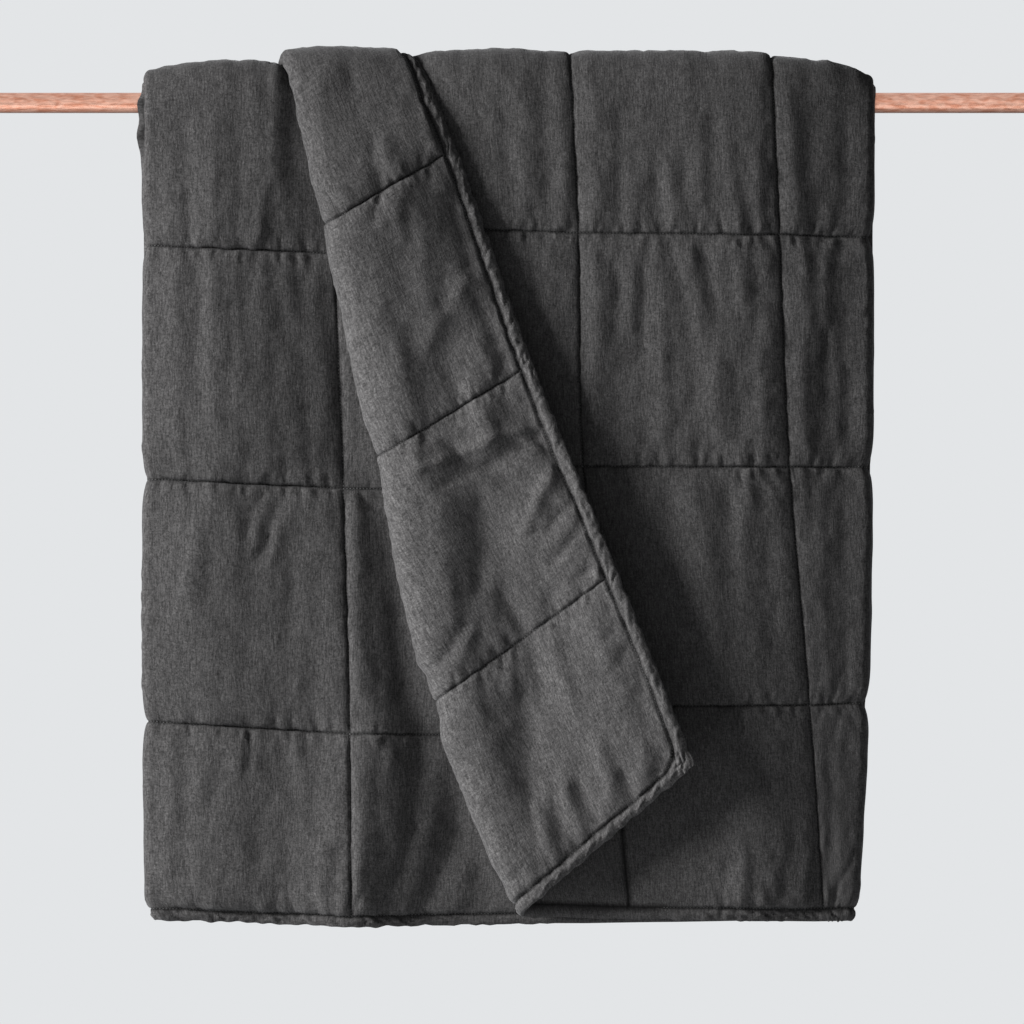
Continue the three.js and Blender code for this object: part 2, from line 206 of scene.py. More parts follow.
# The under panel billows left of the flap's fold: x of its crest and of its foot, and its height, at
# places of the hang path, and how wide it rises
BILLOW = {
    "s": (-890, -850, -782, -694, -640, -450, -395),
    "crest": (-172, -170, -158, -150, -160, -172, -180),
    "foot": (-100, -92, -74, -82, -98, -124, -150),
    "height": (22, 27, 27, 22, 15, 8, 0),
    "rise": 48.0,
}

# The outer squares at the left are round as pillows, and the under panel is full over the rod beside
# the flap's fold. Towards the side folds the layers round off from a soft rise further in.
LEFT_CROWN = {"rise": 9.5, "beside_row": 60.0}
BESIDE_FOLD = {"x": -258.0, "width": 18.0, "rise": 8.5}
EDGE_ROLL = {"width": 85.0, "drop": -7.5, "curve": 1.6, "rise": 3.5, "rise_width": 60.0}
RIGHT_ROLL_SHARE = 0.6

# How the sewn lines wander and pull the side folds in, how the edge of the hem waves, and how far
# the hem tucks in under the square beside it
SEAM_WANDER = {"rise": 0.9, "row_wave": 13.0, "column_wave": 15.0, "slow_wave": 60.0}
EDGE_PINCH = {"depth": 4.5, "along": 12.0, "rest": 0.25, "across": 50.0}
EDGE_WAVE = {"depth": 2.8, "base": 0.2, "noise": 0.8, "wave": 14.0}
HEM_TUCK = {"depth": 3.0, "before": 5.0, "past": 9.0, "beside_flap": 50.0}

# The creases and soft waves of each layer that shows, in the picture plane: from x and z, to x and
# z, width and height. A trough has a height below zero.
CREASES = {
    "under": (
        (-345, -448, -355, -492, 8, -1.6),
        (-355, -492, -363, -542, 9, -1.8),
        (-338, -453, -351, -538, 15, 1.0),
        (-270, -425, -287, -464, 11, -2.2),
        (-287, -464, -290, -503, 10, -1.6),
        (-256, -440, -266, -471, 9, -2.0),
        (-266, -471, -284, -503, 9, -2.4),
        (-271, -437, -282, -486, 9, 1.2),
        (-246, -453, -264, -497, 15, 1.4),
        (-234, -513, -243, -583, 11, -1.0),
        (-311, -540, -318, -627, 17, -0.9),
        (-219, -540, -230, -637, 19, 1.2),
        (-381, -583, -375, -648, 13, 1.0),
        (-342, -174, -338, -323, 16, -1.6),
        (-364, -174, -360, -377, 19, 1.5),
        (-302, -215, -308, -399, 15, -1.4),
        (-323, -182, -325, -345, 17, 1.4),
        (-271, -204, -264, -399, 24, 1.6),
        (-230, -193, -219, -377, 24, -1.0),
        (-284, -166, -288, -247, 13, -1.0),
        (-353, -9, -347, -145, 15, -1.8),
        (-375, 12, -370, -145, 19, 1.2),
        (-325, -20, -323, -145, 15, 1.6),
        (-297, -31, -295, -139, 15, -1.4),
        (-271, -9, -277, -74, 15, 1.0),
        (-257, -90, -262, -150, 11, -1.8),
        (-271, -96, -275, -150, 9, 1.2),
        (-240, 2, -234, -134, 22, -1.0),
        (-217, -63, -210, -150, 15, 1.3),
        (-368, -686, -373, -854, 13, 1.6),
        (-353, -691, -355, -843, 13, -1.4),
        (-332, -686, -338, -756, 13, 1.2),
        (-314, -686, -321, -756, 11, -1.2),
        (-291, -686, -297, -729, 9, 1.4),
        (-283, -683, -287, -724, 8, -1.6),
        (-230, -697, -217, -789, 37, 2.2),
        (-278, -778, -271, -843, 48, -2.4),
        (-246, -735, -262, -756, 22, -1.2),
        (-262, -824, -275, -854, 13, 1.6),
        (-197, -811, -206, -865, 15, 1.6),
        (-185, -805, -191, -870, 13, -2.2),
        (-314, -830, -325, -870, 10, 1.5),
        (-342, -832, -347, -870, 9, 1.2),
        (-170, -432, -168, -648, 14, 1.2),
        (-126, -453, -121, -648, 28, -3.0),
        (-152, -497, -149, -637, 13, -1.0),
        (-168, -697, -165, -854, 16, 2.2),
        (-145, -702, -143, -821, 19, -1.6),
        (-98, -694, -108, -782, 24, -3.4),
        (-108, -782, -142, -886, 24, -3.2),
        (-74, -694, -87, -782, 12, 2.2),
        (-87, -782, -116, -884, 16, 1.8),
        (-51, -746, -68, -810, 15, -4.4),
        (-68, -810, -100, -888, 18, -3.0),
        (-35, -800, -72, -888, 16, 1.6),
        (-181, -215, -175, -345, 13, 1.6),
    ),
    "flap": (
        (-210, 12, -193, -96, 28, 3.0),
        (-181, -150, -152, -345, 43, 3.4),
        (-123, -432, -87, -605, 48, 3.0),
        (-62, -691, -8, -821, 41, 2.6),
        (-175, 23, -152, -53, 28, -1.6),
        (-139, -42, -130, -81, 13, 2.2),
        (-152, -53, -143, -96, 13, -1.6),
        (-121, -69, -117, -107, 13, 2.0),
        (-145, -102, -149, -131, 10, -2.4),
        (-130, -98, -123, -150, 19, 2.0),
        (-100, 2, -87, -53, 17, 1.6),
        (-186, -96, -173, -113, 11, 1.2),
        (-105, -123, -89, -237, 37, 2.4),
        (-65, -107, -45, -182, 28, -2.6),
        (-50, -193, -91, -264, 26, 2.6),
        (-37, -215, -8, -280, 17, -2.0),
        (-78, -215, -65, -247, 24, -1.2),
        (-121, -269, -108, -345, 28, 2.0),
        (-78, -280, -62, -323, 26, -2.0),
        (-37, -269, -24, -293, 15, 1.6),
        (-89, -345, -95, -367, 10, -1.0),
        (-132, -350, -126, -367, 9, 1.0),
        (-100, -399, -26, -367, 13, 3.2),
        (-26, -367, 26, -349, 14, 2.4),
        (-77, -414, -22, -390, 18, -2.2),
        (-22, -390, 30, -358, 16, -2.0),
        (14, -367, 30, -377, 15, 3.0),
        (-39, -325, -22, -360, 22, 3.2),
        (-10, -390, 36, -406, 19, -2.6),
        (43, -399, 17, -460, 19, 3.6),
        (-32, -432, -37, -529, 32, -4.2),
        (-78, -432, -65, -562, 32, 1.6),
        (9, -480, 52, -475, 32, 2.6),
        (63, -440, 41, -462, 9, -2.4),
        (77, -464, 45, -497, 9, -2.6),
        (70, -480, 48, -505, 9, 1.8),
        (86, -503, 67, -518, 9, -2.4),
        (95, -510, 87, -529, 9, 1.8),
        (52, -529, 39, -544, 17, -1.6),
        (-54, -564, -77, -614, 10, -2.4),
        (-43, -572, -65, -618, 13, 1.6),
        (-24, -540, -37, -583, 17, -1.2),
        (-8, -538, 19, -579, 17, -3.4),
        (-62, -367, -54, -399, 9, -1.4),
        (-117, -386, -113, -416, 9, -1.4),
        (-106, -383, -102, -410, 9, 1.2),
        (-82, -362, -78, -390, 10, 1.4),
        (21, -583, 36, -648, 16, -3.4),
        (43, -583, 67, -661, 24, 2.6),
        (9, -648, 39, -724, 37, -2.4),
        (-35, -637, -13, -670, 15, -1.4),
        (-8, -618, 3, -648, 13, 1.4),
        (84, -551, 119, -637, 28, 1.8),
        (128, -583, 149, -670, 19, -1.4),
        (103, -538, 108, -553, 9, -1.6),
        (113, -568, 106, -583, 6, -2.0),
        (123, -594, 119, -609, 6, -1.8),
        (95, -691, 108, -748, 17, 2.4),
        (119, -726, 132, -756, 14, -4.0),
        (139, -691, 152, -739, 15, 2.0),
        (76, -746, 91, -778, 14, -3.6),
        (58, -741, 74, -785, 15, 2.4),
        (48, -756, 54, -795, 10, -2.2),
        (30, -763, 36, -806, 13, 1.8),
        (101, -769, 108, -763, 9, 1.4),
        (147, -733, 158, -722, 9, -1.6),
        (8, -830, 13, -843, 8, -1.6),
        (-13, -811, 0, -834, 13, 1.4),
        (19, -735, 36, -756, 22, -1.2),
    ),
    "top": (
        (9, 12, 13, -128, 24, 1.4),
        (36, 23, 39, -128, 17, -1.2),
        (-13, 2, -6, -74, 19, -1.4),
        (54, 12, 58, -134, 13, 1.0),
        (39, -161, 48, -280, 19, 1.2),
        (19, -150, 24, -215, 15, -0.9),
        (89, 12, 91, -128, 19, 1.6),
        (115, -20, 119, -139, 15, -1.4),
        (139, -9, 143, -85, 17, 1.0),
        (155, -74, 165, -141, 13, -1.9),
        (169, -63, 173, -139, 11, 1.6),
        (186, -53, 191, -141, 13, -1.4),
        (204, -20, 208, -118, 19, 1.2),
        (221, -9, 217, -107, 19, -1.6),
        (234, -53, 243, -139, 13, 1.8),
        (249, -85, 256, -141, 10, -1.5),
        (264, -53, 269, -139, 12, 1.4),
        (274, 12, 277, -63, 11, -0.8),
        (89, -161, 93, -367, 24, 2.0),
        (110, -174, 113, -247, 13, -1.5),
        (126, -161, 130, -247, 13, 1.3),
        (141, -182, 144, -269, 12, -2.2),
        (156, -155, 165, -247, 17, 1.8),
        (173, -155, 184, -215, 11, -1.8),
        (195, -155, 204, -247, 16, 2.0),
        (210, -161, 223, -237, 13, -1.6),
        (243, -150, 249, -215, 13, 1.6),
        (260, -155, 266, -247, 15, -1.4),
        (139, -269, 147, -377, 19, -1.0),
        (162, -269, 167, -388, 15, 1.6),
        (193, -247, 204, -388, 24, -1.2),
        (221, -280, 225, -390, 17, 1.7),
        (242, -291, 249, -367, 15, -1.4),
        (266, -269, 275, -388, 17, 1.5),
        (204, -367, 208, -393, 10, 1.3),
        (152, -367, 149, -395, 9, 1.2),
        (204, -410, 221, -583, 48, 2.4),
        (269, -421, 282, -583, 28, -1.6),
        (247, -432, 253, -540, 17, 1.2),
        (173, -432, 184, -540, 28, -1.8),
        (260, -583, 266, -648, 17, 1.2),
        (160, -497, 193, -605, 30, -1.4),
        (225, -594, 221, -648, 22, 1.0),
        (193, -410, 195, -442, 10, 1.2),
        (234, -408, 238, -453, 10, -1.3),
        (256, -406, 258, -437, 9, 1.2),
        (225, -681, 243, -756, 48, 1.6),
        (204, -778, 193, -843, 39, -1.2),
        (269, -670, 273, -746, 17, -1.0),
        (252, -811, 245, -865, 13, 1.6),
        (234, -821, 225, -869, 11, -1.6),
        (279, -811, 273, -865, 13, 1.2),
        (301, -800, 292, -865, 13, -1.4),
        (169, -843, 160, -870, 10, 1.6),
        (155, -832, 147, -865, 10, -1.4),
        (321, -811, 312, -867, 11, 1.4),
        (139, -778, 143, -865, 17, 1.2),
        (299, 12, 308, -134, 15, 1.8),
        (318, -20, 325, -139, 13, -1.6),
        (338, -31, 342, -134, 13, 1.2),
        (357, -9, 364, -139, 15, -1.6),
        (314, -161, 318, -247, 15, 1.6),
        (312, -258, 318, -383, 15, 1.6),
        (342, -174, 340, -247, 13, 2.2),
        (340, -247, 336, -323, 10, -2.4),
        (357, -161, 362, -377, 15, -1.4),
        (351, -291, 353, -388, 13, 1.4),
        (329, -421, 340, -637, 19, 1.4),
        (357, -421, 362, -637, 15, -1.2),
        (353, -681, 355, -843, 19, 1.0),
        (340, -681, 347, -811, 13, -0.8),
    ),
}

# The flap's creases are higher by this factor. All creases wander off their straight lines, and are
# slimmer at their ends, with a round tip.
FLAP_CREASES = 1.2
CREASE_WANDER = {"by": 4.0, "wave": 46.0}
CREASE_PROFILE = {"ends": 0.7, "middle": 1.2, "fall": 1.5, "tip": 0.1, "tip_root": 0.316}

# The waves of the puckers that stand off a sewn line: wavelength along the line, how far they reach
# from it, and their height
PUCKER_WAVES = (
    (9.0, 11.0, 0.7),
    (16.0, 20.0, 1.3),
    (29.0, 38.0, 2.2),
)

# How the puckers fan out from the line, their stretch off it and how its two sides differ, how their
# tops and valleys are shaped, how high they are in the hem's row, and where the two kinds meet
PUCKER = {
    "fan": 0.35, "fan_wave": 60.0, "stretch": 3.2, "side_along": 7.3, "side_off": 3.1,
    "noise": 0.35, "base": 0.25, "valley": 0.24, "valley_curve": 1.3, "floor": 1.3,
    "hem_row": 1.5, "crossing": 12.0, "off_column": 14.0, "off_row": 5.0,
}

# The soft waves in the squares: wavelength across and along, height and seed. The sway bends the
# narrow ones.
SOFT_WAVES = {
    "narrow": (34.0, 150.0, 1.1, 3),
    "wide": (62.0, 210.0, 1.4, 4),
    "fine": (17.0, 60.0, 0.3, 6),
    "sway": (80.0, 90.0, 0.3, 5),
}

# The fine creases all over: wavelength across and height, and how they sway and stretch
CRUMPLE_WAVES = ((12.0, 0.5), (22.0, 0.6), (45.0, 0.8))
CRUMPLE = {"sway": 0.8, "sway_wave": 2.5, "stretch": 1.7, "width": 0.5, "level": 0.3}

# How far off a sewn row, and off a sewn column, each kind of relief has its full height
FULL_OFF = {"waves": (60.0, 40.0), "crumple": (14.0, 10.0), "creases": (16.0, 10.0)}

# The short ridges across the hem: their waves, how their tops and valleys are shaped, how high they
# are on the flap and on the panels, and how they spread over the hem's width
HEM_PINCH = {
    "wave": 13.0, "lean": 1.3, "across": 12.0, "slow_wave": 29.0, "slow_across": 60.0,
    "noise": 0.5, "base": 0.3, "valley": 1.2, "valley_width": 0.4, "valley_curve": 1.2,
    "flap": 2.4, "panels": 3.0, "spread": 0.7,
}

# The seeds of the other noises. The fan's is added to the one of its puckers.
SEEDS = {
    "row_puckers": 11, "column_puckers": 31, "pucker_fan": 9, "hem_pinch": 51, "hem_slow": 52,
    "shoulder": 61, "crease_x": 71, "crease_s": 72, "crumple": 80, "crumple_sway": 90,
    "wander_up": 95, "wander_across": 96, "side_edge": 97, "end_edge": 98,
}
NOISE_SIZE = 64
NOISE_GAIN = 1.5

# How far the patterns on the top panel and in the end hems are moved along
TOP_SHIFT = 400.0
END_HEM_SHIFT = 500.0

# Where the relief begins and ends: past a side fold, at the flap's hem and at its fold, which it
# comes nearer to over the rod. The fine relief ends behind the top of the rod.
FACE_PAST_FOLD = 4.0
SHOWS = {"hem_start": -10.0, "hem_end": 30.0, "fold_start": -28.0, "fold_over_rod": 14.0}
DETAIL_ENDS = (85.0, 115.0)
TINY = 0.01

# Which part is cut fine and sewn with stitches: past the flap's fold, past a side fold, behind the
# flap's hem and behind its fold. From FRONT_END on a place is seen from behind only.
CUT_PAST = {"flap": 4.0, "side": 6.0, "hem": 34.0, "fold": 26.0}
FRONT_END = 100.0

# The cells of the flat cloth, where a layer shows and where it doesn't, and beside a sewn line
CELL = 19.5
WIDE_CELL = 34.0
BESIDE_SEAM = 6.0
SIDE_ROLL_CELLS = 4
FRONT_CUTS = 3
REAR_CUTS = 1
FINE_CELL = CELL / 3
FINE_BESIDE_ROW = 13.0
FINE_BESIDE_HEM = 2.0
FINE_AT_CORNER = 16.0

# Every stitch is one bead of thread: length, width and height, the step from one to the next, where
# the first one lies, and how far off the places are that give its direction
STITCH = {
    "length": 2.3, "width": 1.1, "height": 0.8, "step": 3.6, "from_end": 1.0,
    "probe_along": 0.8, "probe_across": 1.2,
}
BEAD_CUTS = 4
BEADS_APART = 10.0

# The painted shade in the groove beside a sewn line, and at the bottom of the inner layer
SEAM_SHADE = {"width": 2.0, "in_hem": 0.5}
INNER_SHADE = {"from_fold": 30.0, "share": 0.7, "start": 20.0, "end": 40.0}

# Painted light makes the flap's face paler towards its loose corner
PAINTED_FLAP_LIGHT = {"past_fold": 8.0, "start": 560.0, "end": 860.0, "tone": 1.32}

# The linen's yarns as streaks: width and length in millimetres, and how much they wander
YARNS = {
    "warp": (1.6, 11, 0.6),
    "weft": (9, 1.9, 0.5),
    "fuzz": (1.7, 2.1, 1.2),
    "slub": (3.4, 40, 0.8),
    "cloud": (46, 90, 0.0),
}

# How the yarns tint the linen: from this much noise to that, and the tone at both
YARN_TONES = {
    "warp": (0.35, 0.65, 0.72, 1.28),
    "weft": (0.35, 0.65, 0.9, 1.1),
    "fuzz": (0.35, 0.65, 0.62, 1.38),
    "slub": (0.35, 0.65, 0.92, 1.08),
    "cloud": (0.3, 0.7, 0.94, 1.06),
}
YARN_DETAIL = 2
# The linen's colour is scaled down to this where the painted shade is full
PAINTED_SHADE_TONE = 0.15

# The copper's drawn lines and its bloom, in waves per metre along the rod and across it. The bloom is
# the copper's colour times BLOOM. Painted shade darkens the rod's underside: the height in metres where
# it ends, and its tone at the bottom.
COPPER_LINES = (110, 700, 700)
COPPER_PATCHES = (65, 190, 190)
BLOOM = (0.78, 0.6, 0.52)
PAINTED_UNDERSIDE_SHADE_TOP = -0.0082
PAINTED_UNDERSIDE_SHADE_TONE = 0.4

THREAD_DARK = "363636"
THREAD_LIGHT = "6A6A6A"

# The stage, in metres: the camera's distance, the width and the middle of the picture, the floor, and
# the lights with their place, target, width, height and watts. The key light comes from the far left
# at a flat angle, and brings out the relief.
CAMERA_DISTANCE = 14.0
PHOTO_WIDTH = 1.109
PHOTO_MIDDLE = -0.4446
QUILT_FRONT = -0.05
SENSOR = 36.0
WORLD_LIGHT = 0.05
FLOOR_RADIUS = 3.0
FLOOR_HEIGHT = -1.35
LIGHTS = {
    "key_light": ((-7.4, -2.9, 1.5), (0.0, -0.05, -0.42), 3.0, 1.8, 1390.0),
    "fill_light": ((0.4, -4.2, 0.8), (0.0, -0.05, -0.45), 2.5, 2.5, 5.0),
    "rod_light": ((0.0, -0.9, -0.97), (0.0, 0.0, 0.0), 2.6, 0.8, 5.0),
}

# Curves, noise and distances


def ease(value, start, end):
    t = np.clip((value - start) / (end - start), 0, 1)
    return t * t * (3 - 2 * t)


def mix(a, b, t):
    return a + (b - a) * t


def bend(values, v):
    """A smooth curve through one column of the tables, read at v along the cloth."""
    values = np.asarray(values, float)
    row = np.clip(np.searchsorted(ROW_LINES, v, side="right") - 1, 0, len(ROW_LINES) - 2)
    t = (v - ROW_LINES[row]) / (ROW_LINES[row + 1] - ROW_LINES[row])
    first, last = 2 * values[0] - values[1], 2 * values[-1] - values[-2]
    longer = np.concatenate(([first], values, [last]))
    p0, p1, p2, p3 = (longer[row + k] for k in range(4))
    square = (2 * p0 - 5 * p1 + 4 * p2 - p3) * t**2
    cube = (3 * p1 - p0 - 3 * p2 + p3) * t**3
    return 0.5 * (2 * p1 + (p2 - p0) * t + square + cube)


def drift(across, along, seed):
    """Smooth noise between about -1 and 1, with both coordinates counted in its own waves."""
    angles = np.random.default_rng(seed).random((NOISE_SIZE, NOISE_SIZE)) * math.tau
    i, j = np.floor(across).astype(int), np.floor(along).astype(int)
    a, b = across - i, along - j

    def corner(di, dj):
        angle = angles[(i + di) % NOISE_SIZE, (j + dj) % NOISE_SIZE]
        return np.cos(angle) * (a - di) + np.sin(angle) * (b - dj)

    def fade(t):
        return t**3 * (t * (t * 6 - 15) + 10)

    low = mix(corner(0, 0), corner(1, 0), fade(a))
    high = mix(corner(0, 1), corner(1, 1), fade(a))
    return mix(low, high, fade(b)) * NOISE_GAIN


def nearest(value, lines):
    """The distance to the nearest line, and which line that is."""
    distances = np.stack([np.abs(value - line) for line in lines])
    return distances.min(0), distances.argmin(0)


def fullness(distance, rise):
    """0 on a line, and 1 from rise off it on, along a quarter of a circle."""
    near = 1 - np.clip(distance / rise, 0, 1)
    return np.sqrt(1 - near * near)


def ridge(x, s, middle_x, middle_s, lean, length, width):
    """1 on the middle of a soft ridge, falling off along it and across it."""
    turn = math.radians(lean)
    along = (s - middle_s) * math.cos(turn) - (x - middle_x) * math.sin(turn)
    across = (x - middle_x) * math.cos(turn) + (s - middle_s) * math.sin(turn)
    return np.exp(-((along / (length / 2)) ** 2) - (across / (width / 2)) ** 2)


# The way of the cloth: over the rod, round its folds and from line to line


def row_at(v):
    """What the tables say at v along the cloth."""
    row = {name: bend(values, v) for name, values in PANELS.items()}
    for name in ("flap_width", "lift", "bulge", "dip"):
        row[name] = bend(SEWN_ROWS[name], v)
    row["bulge"] = np.maximum(row["bulge"], 0)
    near_hem = 1 - ease(v, HEM_DRAW["start"], HEM_DRAW["end"])
    row["left_x"] = row["left_x"] + HEM_DRAW["left"] * near_hem
    row["right_x"] = row["right_x"] - HEM_DRAW["right"] * near_hem
    row["short"] = SHORT["outer"] * (1 - ease(v, 0, SHORT["along"]))
    return row


def over_rod(s):
    """1 over the rod, fading to 0 on both falls."""
    rear = ease(s, BACK_START + FADE_START, BACK_START + FADE_END)
    return ease(s, -FADE_END, -FADE_START) * (1 - rear)


def pitch_at(x, s):
    """The distance from one layer's middle to the next."""
    return mix(LAYER_PITCH, np.interp(x, TOP_PITCH["x"], TOP_PITCH["pitch"]), over_rod(s))


def hang(x, s, depth):
    """A point of the layer that lies depth above the rod's surface."""
    drop = np.where(s < 0, -s, np.maximum(s - BACK_START, 0))
    radius = mix(ROD_RADIUS + ROD_GAP, FALL_GAP, ease(drop, 0, FALL_CLOSES)) + depth
    angle = np.clip(s / PATH_RADIUS, 0, math.pi)
    z = radius * np.sin(angle) - drop
    return np.stack([x, -radius * np.cos(angle), z], axis=-1)


def soft_folds(layer, x, s):
    """The height of one layer's large soft folds."""
    height = 0.0
    for middle_x, middle_s, lean, length, width, rise in SOFT_FOLDS[layer]:
        height = height + rise * ridge(x, s, middle_x, middle_s, lean, length, width)
    return height


def billow(x, s):
    """The under panel stands off where the flap's fold presses beside it: it rises over the first
    sewn column and falls steeply to its foot."""
    crest = np.interp(s, BILLOW["s"], BILLOW["crest"])
    foot = np.interp(s, BILLOW["s"], BILLOW["foot"])
    height = np.interp(s, BILLOW["s"], BILLOW["height"])
    rising = np.exp(-(((x - crest) / BILLOW["rise"]) ** 2))
    return height * np.where(x < crest, rising, 1 - ease(x, crest, foot))


def top_depth(x, s, row):
    """The top panel lies on two layers, and on one past the under panel's free edge."""
    under = 2 - ease(x, row["edge_x"] - HEM, row["right_x"] - 2 * HEM)
    return pitch_at(x, s) * (under + 0.5)


def flap_frame(v, row):
    """How the flap's fold runs: its direction up and across, its roll and half the cloth in it, and
    where along u the roll begins and ends."""
    below, above = row_at(v - PROBE), row_at(v + PROBE)
    up = np.stack([above["fold_x"] - below["fold_x"], above["fold_s"] - below["fold_s"]])
    up = up / np.linalg.norm(up, axis=0)
    across = np.stack([up[1], -up[0]])
    pitch = pitch_at(row["fold_x"], row["fold_s"])
    roll = mix(FLAP_ROLL, pitch / 2, over_rod(row["fold_s"]))
    half = math.pi / 2 * roll / across[0]
    start, end = row["flap_width"] - half, row["flap_width"] + half
    slope = across[1] / across[0]
    return {"up": up, "across": across, "roll": roll, "slope": slope,
            "half": half, "start": start, "end": end}


def flap_reach(u, fold):
    """0 where the flap leaves its fold, and 1 at its hem."""
    return np.clip((fold["start"] - u) / fold["start"], 0, 1)


def flap_lines(s):
    """x of the flap's hem and of its fold, at one height of the hang path."""
    hem_x = np.interp(s, PANELS["hem_s"], PANELS["hem_x"])
    fold_x = np.interp(s, PANELS["fold_s"], PANELS["fold_x"])
    return hem_x, fold_x


def roll_place(row, fold, turn):
    """x and s in the roll of the flap's fold."""
    out = fold["roll"] + FLAP_EDGE - fold["roll"] * np.sin(turn)
    slide = fold["roll"] * (turn - math.pi / 2) * fold["slope"]
    x = row["fold_x"] + out * fold["across"][0] + slide * fold["up"][0]
    s = row["fold_s"] + out * fold["across"][1] + slide * fold["up"][1]
    return x, s


def between(u, stops):
    """x and s on the straight way from one stop to the next."""
    x, s = stops[0][1], stops[0][2]
    for (u0, x0, s0), (u1, x1, s1) in zip(stops, stops[1:]):
        t = np.clip((u - u0) / (u1 - u0), 0, 1)
        here = u >= u0
        x = np.where(here, mix(x0, x1, t), x)
        s = np.where(here, mix(s0, s1, t), s)
    return x, s


def side_folds(row):
    """The middles of the rolls at the right and left edges."""
    inside = PUFF_HALF + SIDE_ROLL - EDGE_OUT
    return row["right_x"] - inside, row["left_x"] + inside


def side_turns(u):
    """How far the cloth has turned round the right and the left fold, from 0 to half a turn."""
    right = np.clip((u - RIGHT_START) / (2 * SIDE_HALF), 0, 1) * math.pi
    left = np.clip((LEFT_END - u) / (2 * SIDE_HALF), 0, 1) * math.pi
    return right, left


def off_peek(s):
    """0 in the middle of the peek at the left fold, and more than 1 past its ends."""
    return ((s - LEFT_PEEK["s"]) / LEFT_PEEK["half"]) ** LEFT_PEEK["power"]


def left_peek(turn, s):
    """How far the inner layer looks out of the left fold, with the groove before it."""
    out = np.exp(-(((turn - LEFT_PEEK["turn"]) / LEFT_PEEK["turn_width"]) ** 2))
    groove = np.exp(-(((turn - LEFT_PEEK["groove_turn"]) / LEFT_PEEK["groove_width"]) ** 2))
    return (LEFT_PEEK["out"] * out - LEFT_PEEK["groove"] * groove) * np.exp(-off_peek(s))


def flap_place(u, row, fold):
    """x, s and depth on the flap and in its fold."""
    turn = np.clip((fold["end"] - u) / (2 * fold["half"]), 0, 1) * math.pi
    reach = flap_reach(u, fold)
    roll_x, roll_s = roll_place(row, fold, turn)
    x = mix(roll_x, row["hem_x"], reach)
    s = mix(roll_s, row["hem_s"], reach)
    rise = fold["roll"] * (1 - np.cos(turn)) + row["lift"] * reach**LIFT_CURVE
    t = np.clip((row["flap_width"] - u) / BULGE_WIDTH, 0, 1)
    rise = rise + row["bulge"] * (1 - (1 - t) ** 2) * (1 - reach**BULGE_FALL)
    rise = rise - row["dip"] * np.sin(math.pi * reach)
    rise = rise + soft_folds("flap", x, s) * ease(reach, 0, FOLDS_START)
    return x, s, top_depth(x, s, row) + rise


def top_place(u, row, fold):
    """x, s and depth on the top panel, from the flap's fold to the right one."""
    start_x, start_s = roll_place(row, fold, 0.0)
    x, s = between(u, [
        (fold["end"], start_x, start_s),
        (COLUMN_SEAMS[1], row["second_x"], row["second_s"]),
        (COLUMN_SEAMS[2], row["third_x"], row["third_s"]),
        (RIGHT_START, side_folds(row)[0], row["right_s"]),
    ])
    fade = ease(u, fold["end"], fold["end"] + SHOW_FADE)
    depth = top_depth(x, s, row) + soft_folds("top", x, s) * fade
    return x, s + row["short"] * ease(RIGHT_START - u, 0, SHORT["across"]) * fade, depth


def under_place(u, row):
    """x, s and depth on the under panel, from the left fold to its free edge. It lies on the inner
    layer, so its middle is one and a half layers off the rod."""
    x, s = between(u, [
        (LEFT_END, side_folds(row)[1], row["left_s"]),
        (COLUMN_SEAMS[7], row["eighth_x"], row["eighth_s"]),
        (CLOTH_WIDTH, row["edge_x"], row["edge_s"]),
    ])
    s = s + row["short"] * ease(u - LEFT_END, 0, SHORT["across"])
    bare = 1 - ease(x, row["fold_x"], row["fold_x"] + SHOW_FADE)
    return x, s, pitch_at(x, s) * 1.5 + (soft_folds("under", x, s) + billow(x, s)) * bare


def place(u, row, fold):
    """x, the hang path and the depth over the rod, for the middle of the cloth's thickness."""
    right_x, left_x = side_folds(row)
    s = mix(row["right_s"], row["left_s"], np.clip((u - RIGHT_START) / (LEFT_END - RIGHT_START), 0, 1))
    from_folds = np.minimum(u - RIGHT_END, LEFT_START - u)
    s = s - SHORT["inner"] * row["short"] * ease(from_folds, 0, SHORT["across"])
    x = mix(right_x, left_x, np.clip((u - RIGHT_END) / (LEFT_START - RIGHT_END), 0, 1))
    right_turn, left_turn = side_turns(u)
    right_pitch, left_pitch = pitch_at(right_x, s), pitch_at(left_x, s)
    peek_x = left_x - SIDE_ROLL * np.sin(left_turn) - left_peek(left_turn, s)
    parts = [u <= fold["end"], u <= RIGHT_START, u < RIGHT_END, u <= LEFT_START, u < LEFT_END]
    places = [
        flap_place(u, row, fold),
        top_place(u, row, fold),
        (right_x + SIDE_ROLL * np.sin(right_turn), s, right_pitch + right_pitch / 2 * np.cos(right_turn)),
        (x, s, pitch_at(x, s) / 2),
        (peek_x, s, left_pitch + left_pitch / 2 * np.cos(left_turn)),
    ]
    last = under_place(u, row)
    return tuple(np.select(parts, [each[k] for each in places], last[k]) for k in range(3))


def middle(u, v):
    """The middle of the cloth's thickness as points."""
    row = row_at(v)
    return hang(*place(u, row, flap_frame(v, row)))


def cloth_normal(u, v):
    """Which way the face with side 1 looks."""
    west = middle(np.clip(u - PROBE, 0, CLOTH_WIDTH), v)
    east = middle(np.clip(u + PROBE, 0, CLOTH_WIDTH), v)
    south = middle(u, np.clip(v - PROBE, 0, CLOTH_LENGTH))
    north = middle(u, np.clip(v + PROBE, 0, CLOTH_LENGTH))
    normal = np.cross(east - west, north - south)
    return normal / np.linalg.norm(normal, axis=1, keepdims=True)


# The sewn lines and the hem


def first_seam(row, fold):
    """The first sewn column runs just behind the flap's fold where the flap is wide."""
    return np.maximum(COLUMN_SEAMS[0], row["flap_width"] + fold["half"] + FLAP_SEAM_BEHIND)


